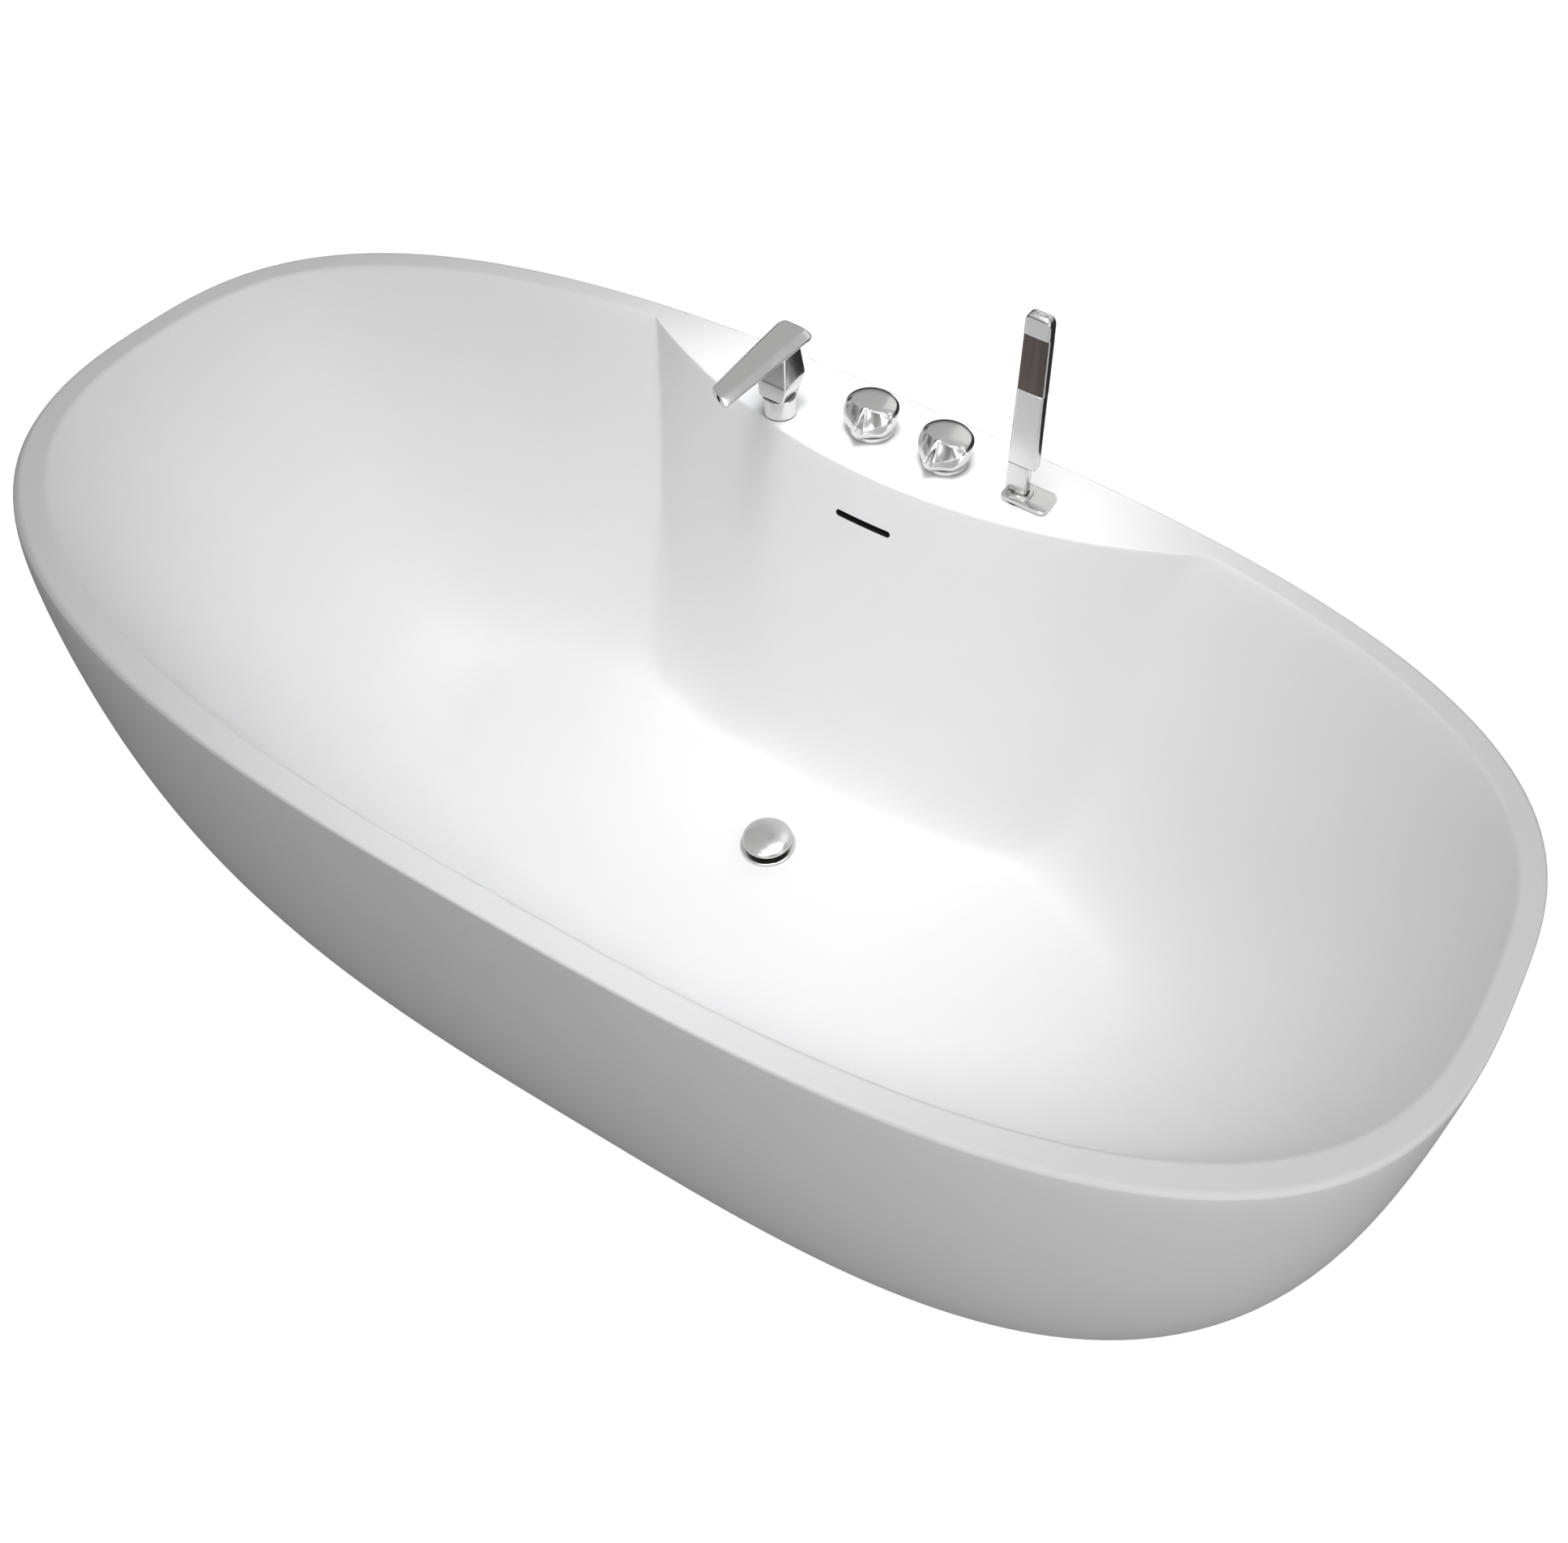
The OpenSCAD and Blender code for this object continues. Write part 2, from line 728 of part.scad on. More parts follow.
shower_low = tub_h + 8;
face_t = 2;

module shower_slab(low, high) {
    translate([shower_x, tap_y, low]) linear_extrude(high - low)
        soft_square(shower_w, shower_t, 5);
}

// the slab has a shallow seat in its front for the spray face
module handshower_body() {
    color("silver")
    difference() {
        shower_slab(shower_low, tub_h + face_high);
        translate([shower_x - shower_w / 2 + 2, tap_y - shower_t / 2 - 1, tub_h + face_low])
            cube([shower_w - 4, face_t + 1, face_high - face_low + 1]);
    }
}

module handshower_face() {
    color([0.2, 0.18, 0.17])
    translate([shower_x - shower_w / 2 + 2.1, tap_y - shower_t / 2, tub_h + face_low + 0.1])
        cube([shower_w - 4.2, face_t - 0.05, face_high - face_low - 0.2]);
}

module handshower_tip() {
    color("silver")
    shower_slab(tub_h + face_high, tub_h + shower_top);
}

// cone nut at the bottom, which drops into the guide sleeve
module handshower_connector() {
    color("silver")
    translate([shower_x, tap_y, shower_low - 34]) cylinder(r1 = 8, r2 = 9.5, h = 34);
}

// low plate on the deck with a rim that the hand shower stands in
module shower_holder() {
    plate_shift = 11;
    color("silver")
    difference() {
        union() {
            translate([shower_x + plate_shift, tap_y, tub_h + 1.5]) linear_extrude(4)
                soft_square(shower_w + 22, 38, 9);
            translate([shower_x, tap_y, tub_h + 1.5]) cylinder(r = 15.5, h = 6);
        }
        translate([shower_x, tap_y, tub_h]) cylinder(r = 10.6, h = 20);
    }
}

module guide_sleeve() {
    color("gray")
    translate([shower_x, tap_y, 520]) tube(15.5, 10.6, tub_h + 1.4 - 520);
}

// ---------- shared fixings ----------

module deck_gaskets() {
    color("black")
    for (i = [0:3]) translate([hole_x[i], hole_y[i], tub_h])
        tube(19.5, hole_r[i] - 0.9, 1.5);
}

module deck_nuts() {
    bores = [11.05, 16.55, 16.55, 15.55];
    outer = [16.5, 23, 23, 23];
    color("darkgoldenrod")
    for (i = [0:3]) translate([hole_x[i], hole_y[i], board_under - 8])
        tube(outer[i], bores[i], 8);
}

basin();
skirt();
floor_board();
front_rail();
rear_rail();
cross_bars();
foot_studs();
foot_locknuts();
foot_pads();
deck_board();
waste_flange();
waste_gasket();
waste_body();
waste_backnut();
waste_outlet();
click_cartridge();
popup_stem();
popup_cap();
cap_seal();
overflow_housing();
overflow_gasket();
overflow_hose();
hose_clamps();
spout_blade();
spout_neck();
spout_foot();
spout_shank();
spout_union();
mixer_handle();
mixer_spindle();
mixer_grub_screw();
mixer_base_ring();
mixer_cartridge();
mixer_body();
diverter_handle();
diverter_spindle();
diverter_grub_screw();
diverter_base_ring();
diverter_cartridge();
diverter_body();
link_pipe();
spout_pipe();
shower_outlet_elbow();
handshower_body();
handshower_face();
handshower_tip();
handshower_connector();
shower_holder();
guide_sleeve();
deck_gaskets();
deck_nuts();
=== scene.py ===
import json
import math
import bpy
import numpy as np
from mathutils import Matrix, Vector


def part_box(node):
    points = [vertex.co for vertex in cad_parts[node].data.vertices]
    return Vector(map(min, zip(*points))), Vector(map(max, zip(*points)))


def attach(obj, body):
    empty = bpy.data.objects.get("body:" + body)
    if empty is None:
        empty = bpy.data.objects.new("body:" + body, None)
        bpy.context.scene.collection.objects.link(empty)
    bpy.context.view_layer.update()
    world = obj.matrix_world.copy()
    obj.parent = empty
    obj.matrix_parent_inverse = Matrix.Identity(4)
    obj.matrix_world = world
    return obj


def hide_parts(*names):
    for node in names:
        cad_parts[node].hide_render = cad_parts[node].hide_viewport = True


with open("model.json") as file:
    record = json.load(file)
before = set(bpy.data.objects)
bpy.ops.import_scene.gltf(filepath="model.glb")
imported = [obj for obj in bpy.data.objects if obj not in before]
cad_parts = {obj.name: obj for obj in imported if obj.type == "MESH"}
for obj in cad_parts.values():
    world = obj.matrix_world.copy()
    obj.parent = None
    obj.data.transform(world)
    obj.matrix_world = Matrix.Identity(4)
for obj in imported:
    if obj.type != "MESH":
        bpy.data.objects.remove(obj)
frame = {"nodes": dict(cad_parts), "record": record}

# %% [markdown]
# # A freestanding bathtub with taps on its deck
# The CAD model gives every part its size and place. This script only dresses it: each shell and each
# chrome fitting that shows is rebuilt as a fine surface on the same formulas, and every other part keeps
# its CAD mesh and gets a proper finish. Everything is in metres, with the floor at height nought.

bpy.context.view_layer.update()

# %% [markdown]
# ## Sizes taken from the frame
# A tub maker works from the rim, the waste and the row of tap holes. Those places are read from the
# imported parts, so a change in the CAD moves the looks with it. The waste is the centre of every outline.

# %% Rim, waste and deck
basin_low, basin_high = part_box("basin")
flange_low, flange_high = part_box("waste_flange")
waste_y = (flange_low.y + flange_high.y) / 2
half_len = basin_high.x
half_far = basin_high.y - waste_y
half_near = waste_y - basin_low.y
rim_z = basin_high.z
shell_t = 0.010
floor_z = basin_low.z + shell_t
basin_depth = rim_z - floor_z
lip_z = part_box("skirt")[1].z
print("rim", round(rim_z, 3), "floor", round(floor_z, 3), "waste y", round(waste_y, 4))

# %% [markdown]
# ## Building a mesh from a grid of points
# Every new piece is a grid: rows of points, one row after another, joined by four-sided faces. A closed
# row wraps round, and a fan to one middle point closes an end. The signed volume tells whether the faces
# look outwards, and if it is negative the whole grid is turned over. That is quicker and surer than
# asking Blender to guess.

# %% Grid helpers
SHARP_ANGLE = math.radians(32)


def grid_quads(rows, cols, wrap_rows=False):
    """Faces of a grid whose rows are closed rings: point (i, j) joins (i, j+1), (i+1, j+1) and (i+1, j)."""
    i = np.arange(rows if wrap_rows else rows - 1)[:, None]
    j = np.arange(cols)[None, :]
    i2, j2 = (i + 1) % rows, (j + 1) % cols
    return np.stack([i * cols + j, i * cols + j2, i2 * cols + j2, i2 * cols + j], -1).reshape(-1, 4)


def end_fan(row_start, cols, middle, turned):
    """Triangles from a ring to one middle point, wound the other way at the far end."""
    j = np.arange(cols)
    k = (j + 1) % cols
    fan = np.stack([j + row_start, k + row_start, np.full(cols, middle)], -1)
    return fan if turned else fan[:, ::-1]


def signed_volume(points, triangles):
    """Sum of a . (b x c) / 6 over the triangles: positive when the faces look outwards."""
    a, b, c = (points[triangles[:, k]] for k in range(3))
    return float((a * np.cross(b, c)).sum() / 6)


def add_mesh(name, points, quads, triangles=None):
    """Mesh object from points and faces, smooth with sharp edges by angle, its faces looking outwards."""
    parts = [quads[:, [0, 1, 2]], quads[:, [0, 2, 3]]]
    faces = quads.tolist()
    if triangles is not None:
        parts.append(triangles)
        faces += triangles.tolist()
    if signed_volume(points - points.mean(0), np.concatenate(parts)) < 0:
        faces = [face[::-1] for face in faces]
    mesh = bpy.data.meshes.new(name)
    mesh.from_pydata(points.tolist(), [], faces)
    mesh.validate()
    mesh.shade_smooth()
    mesh.set_sharp_from_angle(angle=SHARP_ANGLE)
    piece = bpy.data.objects.new(name, mesh)
    bpy.context.scene.collection.objects.link(piece)
    return piece


def closed_loft(name, rings):
    """Solid through a stack of rings, shape (rows, cols, 3), both ends closed by a fan to their middle."""
    rows, cols = rings.shape[:2]
    middles = np.stack([rings[0].mean(0), rings[-1].mean(0)])
    points = np.concatenate([rings.reshape(-1, 3), middles])
    fans = np.concatenate([end_fan(0, cols, rows * cols, False),
                           end_fan((rows - 1) * cols, cols, rows * cols + 1, True)])
    return add_mesh(name, points, grid_quads(rows, cols), fans)


def hollow_loft(name, rings):
    """Ring-shaped solid: the last row of points joins the first again."""
    rows, cols = rings.shape[:2]
    return add_mesh(name, rings.reshape(-1, 3), grid_quads(rows, cols, wrap_rows=True))


def dress(piece, body, nodes, material):
    """Says what the piece rides on, what it stands for and its finish."""
    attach(piece, body)
    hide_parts(*nodes)
    piece.data.materials.clear()
    piece.data.materials.append(material)
    print(piece.name, "has", len(piece.data.polygons), "faces")
    return piece


# %% [markdown]
# ## The camera
# The view is from above the near side, a little to the right and rolled by a few degrees, as a hand-held
# camera would be. The place is given as a turn, a height angle and a distance from a point on the rim.
# The shift moves the tub sideways in the frame without turning the camera.

# %% Camera
turn = math.radians(22.663)
height_angle = math.radians(51.648)
roll = math.radians(7.867)
camera_distance = 1.51242
look_at = Vector((0.34172, waste_y - 0.00625, rim_z))

back = Vector((math.sin(turn) * math.cos(height_angle),
               -math.cos(turn) * math.cos(height_angle), math.sin(height_angle)))
level_right = (-back).cross(Vector((0, 0, 1))).normalized()
level_up = level_right.cross(-back)
right = math.cos(roll) * level_right + math.sin(roll) * level_up
up = math.cos(roll) * level_up - math.sin(roll) * level_right
camera_data = bpy.data.cameras.new("camera")
camera_data.lens = 35.163
camera_data.sensor_width = 36.0
camera_data.shift_x = -0.1573
camera_data.shift_y = -0.0103
camera = bpy.data.objects.new("camera", camera_data)
bpy.context.scene.collection.objects.link(camera)
place = Matrix((right, up, back)).transposed().to_4x4()
place.translation = look_at + camera_distance * back
camera.matrix_world = place
bpy.context.scene.camera = camera
print("camera at", [round(c, 3) for c in place.translation])

# %% [markdown]
# ## Finishes
# Each finish is a small node tree on the Principled shader. Noise in Object coordinates changes the
# roughness and the height of the surface a little, because no real surface is the same all over: cast
# acrylic has a faint orange peel, chrome carries faint wiping marks, cast brass is grainy.
# Object coordinates are used since every piece's object sits at the origin, so the pattern stays put.

# %% Material helpers


def plain_shader(name, colour, roughness, metallic=0.0):
    """Principled material with its constant values set on the shader's own sockets."""
    material = bpy.data.materials.new(name)
    material.use_nodes = True
    shader = material.node_tree.nodes["Principled BSDF"]
    shader.inputs["Base Color"].default_value = (*colour, 1)
    shader.inputs["Roughness"].default_value = roughness
    shader.inputs["Metallic"].default_value = metallic
    return material, shader


def noise_field(material, scale, detail=3.0, stretch=(1, 1, 1)):
    """Noise in Object coordinates, stretched by a Mapping node; returns its value socket."""
    tree = material.node_tree
    where = tree.nodes.new("ShaderNodeTexCoord")
    mapping = tree.nodes.new("ShaderNodeMapping")
    mapping.inputs["Scale"].default_value = stretch
    noise = tree.nodes.new("ShaderNodeTexNoise")
    noise.inputs["Scale"].default_value = scale
    noise.inputs["Detail"].default_value = detail
    tree.links.new(where.outputs["Object"], mapping.inputs["Vector"])
    tree.links.new(mapping.outputs["Vector"], noise.inputs["Vector"])
    return noise.outputs["Fac"]


def vary_roughness(material, shader, field, low, high):
    """Roughness from low to high as the field goes from 0.3 to 0.7, where noise has most of its values."""
    tree = material.node_tree
    spread = tree.nodes.new("ShaderNodeMapRange")
    spread.inputs["From Min"].default_value = 0.3
    spread.inputs["From Max"].default_value = 0.7
    spread.inputs["To Min"].default_value = low
    spread.inputs["To Max"].default_value = high
    tree.links.new(field, spread.inputs["Value"])
    tree.links.new(spread.outputs["Result"], shader.inputs["Roughness"])


def vary_colour(material, shader, field, first, second):
    """Base colour between two colours by the field."""
    tree = material.node_tree
    ramp = tree.nodes.new("ShaderNodeValToRGB")
    ramp.color_ramp.elements[0].position = 0.3
    ramp.color_ramp.elements[1].position = 0.7
    ramp.color_ramp.elements[0].color = (*first, 1)
    ramp.color_ramp.elements[1].color = (*second, 1)
    tree.links.new(field, ramp.inputs["Fac"])
    tree.links.new(ramp.outputs["Color"], shader.inputs["Base Color"])


def raise_bumps(material, shader, field, height, strength=1.0):
    """Bump whose full height is given in metres."""
    tree = material.node_tree
    bump = tree.nodes.new("ShaderNodeBump")
    bump.inputs["Distance"].default_value = height
    bump.inputs["Strength"].default_value = strength
    tree.links.new(field, bump.inputs["Height"])
    tree.links.new(bump.outputs["Normal"], shader.inputs["Normal"])


# %% [markdown]
# The tub is cast acrylic with a satin polish. It is a warm white with the faintest cloud in it, glossy
# enough for a soft sheen at a low angle, but it mirrors nothing.

# %% Satin acrylic
acrylic, shader = plain_shader("satin_acrylic", (0.80, 0.80, 0.81), 0.42)
shader.inputs["Specular IOR Level"].default_value = 0.35
vary_colour(acrylic, shader, noise_field(acrylic, 5.0), (0.795, 0.795, 0.802), (0.812, 0.812, 0.816))
vary_roughness(acrylic, shader, noise_field(acrylic, 60.0), 0.40, 0.48)
raise_bumps(acrylic, shader, noise_field(acrylic, 420.0, 2.0), 0.00001)

# %% [markdown]
# ## The two shells
# The tub is two sheets of acrylic: a basin with a flat rim, and a skirt whose top edge is glued under
# the basin's lip. Their outlines are superellipses in polar form, so one formula gives the radius for a
# direction and a height, and the squareness can change from the rim to the foot. A scanned or sculpted
# shell would follow the eye less surely than a formula with eight numbers.

# %% Outline formulas
ROUND_LEFT, ROUND_RIGHT, ROUND_FOOT = 2.62, 2.84, 3.25
ROUND_FLOOR = 2.3
RIM_WIDTH = 0.027
FOOT_HALF_LEN = 0.717
FOOT_WIDTH_SHARE = 0.868
SKIRT_POWER = 3.3
SKIRT_T = 0.009


def super_radius(angle, a, b, power):
    """Superellipse in polar form: ((|cos|/a)^power + (|sin|/b)^power)^(-1/power)."""
    return ((abs(np.cos(angle)) / a) ** power + (abs(np.sin(angle)) / b) ** power) ** (-1 / power)


def by_end(angle):
    """Squareness of the outline: one value for the left end, one for the right."""
    return np.where(np.cos(angle) < 0, ROUND_LEFT, ROUND_RIGHT)


def by_side(angle):
    """Half width from the waste to the tap side or to the near side."""
    return np.where(np.sin(angle) < 0, half_near, half_far)


def skirt_radius(angle, z):
    """Skirt's outer radius: the foot's half axes grow to the rim's by 1 - (1 - z/height)^3.3."""
    up_share = z / rim_z
    grown = 1 - (1 - up_share) ** SKIRT_POWER
    squarer = (1 - up_share) ** 0.4
    power = by_end(angle) * (1 - squarer) + ROUND_FOOT * squarer
    return super_radius(angle, FOOT_HALF_LEN + (half_len - FOOT_HALF_LEN) * grown,
                        by_side(angle) * (FOOT_WIDTH_SHARE + (1 - FOOT_WIDTH_SHARE) * grown), power)


print("foot is", round(2 * FOOT_HALF_LEN, 3), "m long,", "rim", round(2 * half_len, 3))

# %% [markdown]
# The basin's inner wall drops from the rim with a straight draft and turns flat at the floor with a
# fillet, both given as functions of the depth share s. On the tap side the deck's front wall, a cone
# about an upright axis behind the tub, cuts the bowl short. Where cone and bowl meet there is a valley:
# crisp at the top of the left side, and rolled out softly lower down and on the right. A smooth minimum
# of the two radii makes both, with a blend width that grows with depth.

# %% Basin formulas
END_DRAFT, END_FILLET = 0.235, 0.150
NEAR_DRAFT, NEAR_FILLET = 0.120, 0.110
FAR_DRAFT, FAR_FILLET = 0.140, 0.085
DECK_RADIUS, DECK_FRONT, DECK_SHIFT = 0.773, 0.248, -0.008
DECK_DRAFT, DECK_FILLET = 0.106, 0.050


def fillet(s):
    """Nothing at the rim, and a level tangent at the floor: 1 - (1 - s^3)^(1/3)."""
    return 1 - np.clip(1 - s ** 3, 0, None) ** (1 / 3)


def bowl_radius(angle, s):
    """Rim outline less the draft and the fillet of each side."""
    f = fillet(s)
    side_in = np.where(np.sin(angle) < 0, NEAR_DRAFT * s + NEAR_FILLET * f,
                       FAR_DRAFT * s ** 0.8 + FAR_FILLET * f)
    return super_radius(angle, half_len - RIM_WIDTH - END_DRAFT * s - END_FILLET * f,
                        by_side(angle) - RIM_WIDTH - side_in, by_end(angle) * (1 - s) + ROUND_FLOOR * s)


def deck_wall_radius(angle, s):
    """Distance along a direction to a circle about the cone's axis, or far away where it is missed."""
    rho = DECK_RADIUS + DECK_DRAFT * s + DECK_FILLET * fillet(s)
    cx, cy = DECK_SHIFT, DECK_FRONT + DECK_RADIUS
    along = cx * np.cos(angle) + cy * np.sin(angle)
    reach = along ** 2 - cx ** 2 - cy ** 2 + rho ** 2
    hit = (reach > 0) & (along > 0)
    return np.where(hit, along - np.sqrt(np.clip(reach, 0, None)), 9.0)


def smooth_step(x):
    """0 below 0, 1 above 1, and 3x^2 - 2x^3 between."""
    x = np.clip(x, 0, 1)
    return x * x * (3 - 2 * x)


def valley_width(angle, s):
    """Width over which bowl and deck wall blend: 3 mm at the top left, then wider with depth."""
    left = 0.003 + 0.060 * np.clip((s - 0.42) / 0.5, 0, 1) ** 1.5
    right_side = 0.012 + 0.110 * s
    towards_right = smooth_step((np.cos(angle) + 0.35) / 0.7)
    return left + (right_side - left) * towards_right


def basin_radius(angle, s):
    """Smooth minimum of bowl and deck wall: the blend takes width * h * (1 - h) off the smaller one."""
    bowl, deck = bowl_radius(angle, s), deck_wall_radius(angle, s)
    width = valley_width(angle, s)
    h = np.clip(0.5 + 0.5 * (deck - bowl) / width, 0, 1)
    return deck * (1 - h) + bowl * h - width * h * (1 - h)


def spans(*limits):
    """Angles in degrees from (start, end, step) spans, joined."""
    return np.radians(np.concatenate([np.arange(*limit) for limit in limits]))


round_tub = spans((0, 38, 1), (38, 56, 0.2), (56, 124, 1), (124, 146, 0.15), (146, 360, 1))
print(len(round_tub), "directions round the tub")

# %% [markdown]
# The basin is one closed sheet: up the inner wall, over the rim with two rolled edges, down the lip and
# back along the underside. A rolled edge is a quadratic curve whose middle control point is the sharp
# corner, which is level with both faces at its ends, whatever the wall's slope.

# %% Basin
EDGE_ROLL = 0.0045


def ring_at(radius, z):
    """Ring of points about the waste at one height or at one height each."""
    z = np.broadcast_to(z, radius.shape)
    return np.stack([radius * np.cos(round_tub), waste_y + radius * np.sin(round_tub), z], -1)


def rolled(first, corner, last, steps=6):
    """Rings along a quadratic curve from first to last that is pulled to the corner."""
    t = np.linspace(0, 1, steps + 1)[:, None, None]
    return (1 - t) ** 2 * first + 2 * t * (1 - t) * corner + t ** 2 * last


def shares_down(count, first):
    """Depth shares that crowd towards the floor, where the fillet turns fastest: 1 - (1 - t)^2.6."""
    t = np.linspace(0, 1, count)
    s = 1 - (1 - t) ** 2.6
    return first + (1 - first) * s


def inner_ring(s):
    """Ring of the basin's inner wall at a share of its depth, 0 at the rim and 1 at the floor."""
    return ring_at(basin_radius(round_tub, s), rim_z - s * basin_depth)


floor_edge = basin_radius(round_tub, 1.0)
floor_rings = [ring_at(floor_edge * k, floor_z) for k in (0.12, 0.3, 0.5, 0.7, 0.86, 0.95, 0.985)]
roll_share = EDGE_ROLL / basin_depth
wall_rings = [inner_ring(s) for s in shares_down(78, roll_share)[::-1]]
inner_top = basin_radius(round_tub, 0.0)
outer_top = skirt_radius(round_tub, rim_z)
inner_roll = rolled(wall_rings[-1], ring_at(inner_top, rim_z), ring_at(inner_top + EDGE_ROLL, rim_z))
hold = 0.0006
rim_shares = (0.25, 0.5, 0.75)
rim_rings = [ring_at(inner_top + EDGE_ROLL + hold, rim_z)]
rim_rings += [ring_at(inner_top + (outer_top - inner_top) * k, rim_z) for k in rim_shares]
rim_rings += [ring_at(outer_top - EDGE_ROLL - hold, rim_z)]
below_roll = rim_z - EDGE_ROLL
outer_roll = rolled(ring_at(outer_top - EDGE_ROLL, rim_z), ring_at(outer_top, rim_z),
                    ring_at(skirt_radius(round_tub, below_roll), below_roll))
lip_rings = [ring_at(skirt_radius(round_tub, z), z) for z in np.linspace(below_roll - hold, lip_z, 4)]


def under_ring(s):
    """Underside of the sheet: one shell thickness further out, from the lip down to the pan."""
    z = lip_z - s * (lip_z - basin_low.z)
    return ring_at(basin_radius(round_tub, s) + shell_t, z)


under_rings = [under_ring(s) for s in shares_down(30, 0.0)]
pan_ring = ring_at(floor_edge * 0.12, basin_low.z)
all_rings = np.stack([*floor_rings, *wall_rings, *inner_roll[1:], *rim_rings, *outer_roll,
                      *lip_rings, *under_rings, pan_ring])
basin = closed_loft("basin_shell", all_rings)
print("basin rings", len(all_rings))

# %% [markdown]
# The holes are drilled after moulding, as in the works: one for the waste, four for the taps, and the
# overflow slot through the deck's front wall. One cutter mesh and one Boolean do all of them.

# %% Holes in the basin
HOLE_SIDES = 64


def drill(name, x, y, radius, low, high):
    """Upright cutter for a round hole."""
    a = np.linspace(0, 2 * math.pi, HOLE_SIDES, endpoint=False)
    ring = np.stack([x + radius * np.cos(a), y + radius * np.sin(a)], -1)
    rings = np.stack([np.column_stack([ring, np.full(HOLE_SIDES, z)]) for z in (low, high)])
    return closed_loft(name, rings)


def capsule_outline(width, height, count):
    """Points of a slot with round ends in the (x, z) plane, by angle round each end."""
    a = np.linspace(-math.pi / 2, math.pi / 2, count)
    flat = (width - height) / 2
    right_end = np.stack([flat + height / 2 * np.cos(a), height / 2 * np.sin(a)], -1)
    return np.concatenate([right_end, -right_end])


SLOT_LEN, SLOT_H, SLOT_DEPTH = 0.074, 0.008, 0.062
tap_boxes = [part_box(name) for name in ("spout_shank", "mixer_spindle", "diverter_spindle", "guide_sleeve")]
cutters = [drill("cut", (low.x + high.x) / 2, (low.y + high.y) / 2, radius, rim_z - 0.03, rim_z + 0.02)
           for (low, high), radius in zip(tap_boxes, (0.0125, 0.0175, 0.0175, 0.0175))]
cutters.append(drill("cut", 0, waste_y, 0.024, basin_low.z - 0.01, floor_z + 0.01))
slot_xz = capsule_outline(SLOT_LEN, SLOT_H, 16)
slot_rings = np.stack([np.column_stack([slot_xz[:, 0] + DECK_SHIFT, np.full(len(slot_xz), waste_y + y),
                                        slot_xz[:, 1] + rim_z - SLOT_DEPTH]) for y in (0.205, 0.256)])
cutters.append(closed_loft("cut", slot_rings))
with bpy.context.temp_override(active_object=cutters[0], selected_editable_objects=cutters):
    bpy.ops.object.join()
boolean = basin.modifiers.new("holes", "BOOLEAN")
boolean.object = cutters[0]
boolean.solver = "EXACT"
bpy.context.view_layer.update()
cut_mesh = bpy.data.meshes.new_from_object(basin.evaluated_get(bpy.context.evaluated_depsgraph_get()))
basin.modifiers.clear()
basin.data = cut_mesh
cut_mesh.shade_smooth()
cut_mesh.set_sharp_from_angle(angle=SHARP_ANGLE)
bpy.data.objects.remove(cutters[0])
dress(basin, "tub", ["basin"], acrylic)

# %% [markdown]
# The faces cut by the slot are painted near-black instead of acrylic: painted shade in the slot's recess.

# %% Painted shade in the slot
slot_painted_shade, shader = plain_shader("slot_painted_shade", (0.010, 0.010, 0.010), 0.6)
raise_bumps(slot_painted_shade, shader, noise_field(slot_painted_shade, 600.0), 0.00002)
basin.data.materials.append(slot_painted_shade)
# Faces inside the slot get the near-black painted shade.
face_count = len(basin.data.polygons)
middles, normals = np.empty(face_count * 3), np.empty(face_count * 3)
basin.data.polygons.foreach_get("center", middles)
basin.data.polygons.foreach_get("normal", normals)
middles, normals = middles.reshape(-1, 3), normals.reshape(-1, 3)
in_slot_shade = ((abs(middles[:, 0] - DECK_SHIFT) < SLOT_LEN / 2 + 0.0003)
           & (abs(middles[:, 2] - rim_z + SLOT_DEPTH) < SLOT_H / 2 + 0.0003)
           & (abs(normals[:, 1]) < 0.2) & (middles[:, 1] > waste_y + 0.15))
basin.data.polygons.foreach_set("material_index", in_slot_shade.astype(np.int32))
print(int(in_slot_shade.sum()), "faces line the slot")

# %% [markdown]
# The skirt is a ring of sheet as tall as the tub. Its outer face carries on the basin's lip, so the
# joint is a hairline. At the floor it turns in to a flange that stiffens the edge.

# %% Skirt
FLANGE_WIDTH, FLANGE_T = 0.026, 0.008
FOOT_ROLL = 0.003


def skirt_ring(z, inset=0.0):
    """Ring of the skirt's outer face at a height, moved inwards by the inset."""
    return ring_at(skirt_radius(round_tub, z) - inset, z)


heights = np.linspace(FOOT_ROLL, lip_z, 62)
outer_face = [skirt_ring(z) for z in heights]
foot_corner = skirt_ring(0.0)
foot_flat = ring_at(skirt_radius(round_tub, 0.0) - FOOT_ROLL, 0.0)
foot_roll = rolled(foot_flat, foot_corner, outer_face[0], 4)
inner_face = [skirt_ring(z, SKIRT_T) for z in np.linspace(lip_z, FLANGE_T, 24)]
flange_in = skirt_radius(round_tub, FLANGE_T) - SKIRT_T - FLANGE_WIDTH
flange_rings = [ring_at(flange_in, FLANGE_T), ring_at(flange_in, 0.0)]
skirt = hollow_loft("skirt_shell", np.stack([*foot_roll, *outer_face[1:], *inner_face, *flange_rings]))
dress(skirt, "tub", ["skirt"], acrylic)

# %% [markdown]
# ## Chrome
# Every tap part is brass with a bright chrome plate. Chrome has no colour of its own to speak of: what
# shows is the room, so the shapes and the soft boxes do most of the work. A slow noise in the roughness
# stands for wiping marks, which keeps the mirror from looking computed.

# %% Chrome and the spray face
chrome, shader = plain_shader("satin_chrome", (0.66, 0.66, 0.655), 0.19, 1.0)
vary_roughness(chrome, shader, noise_field(chrome, 45.0, 4.0), 0.15, 0.22)
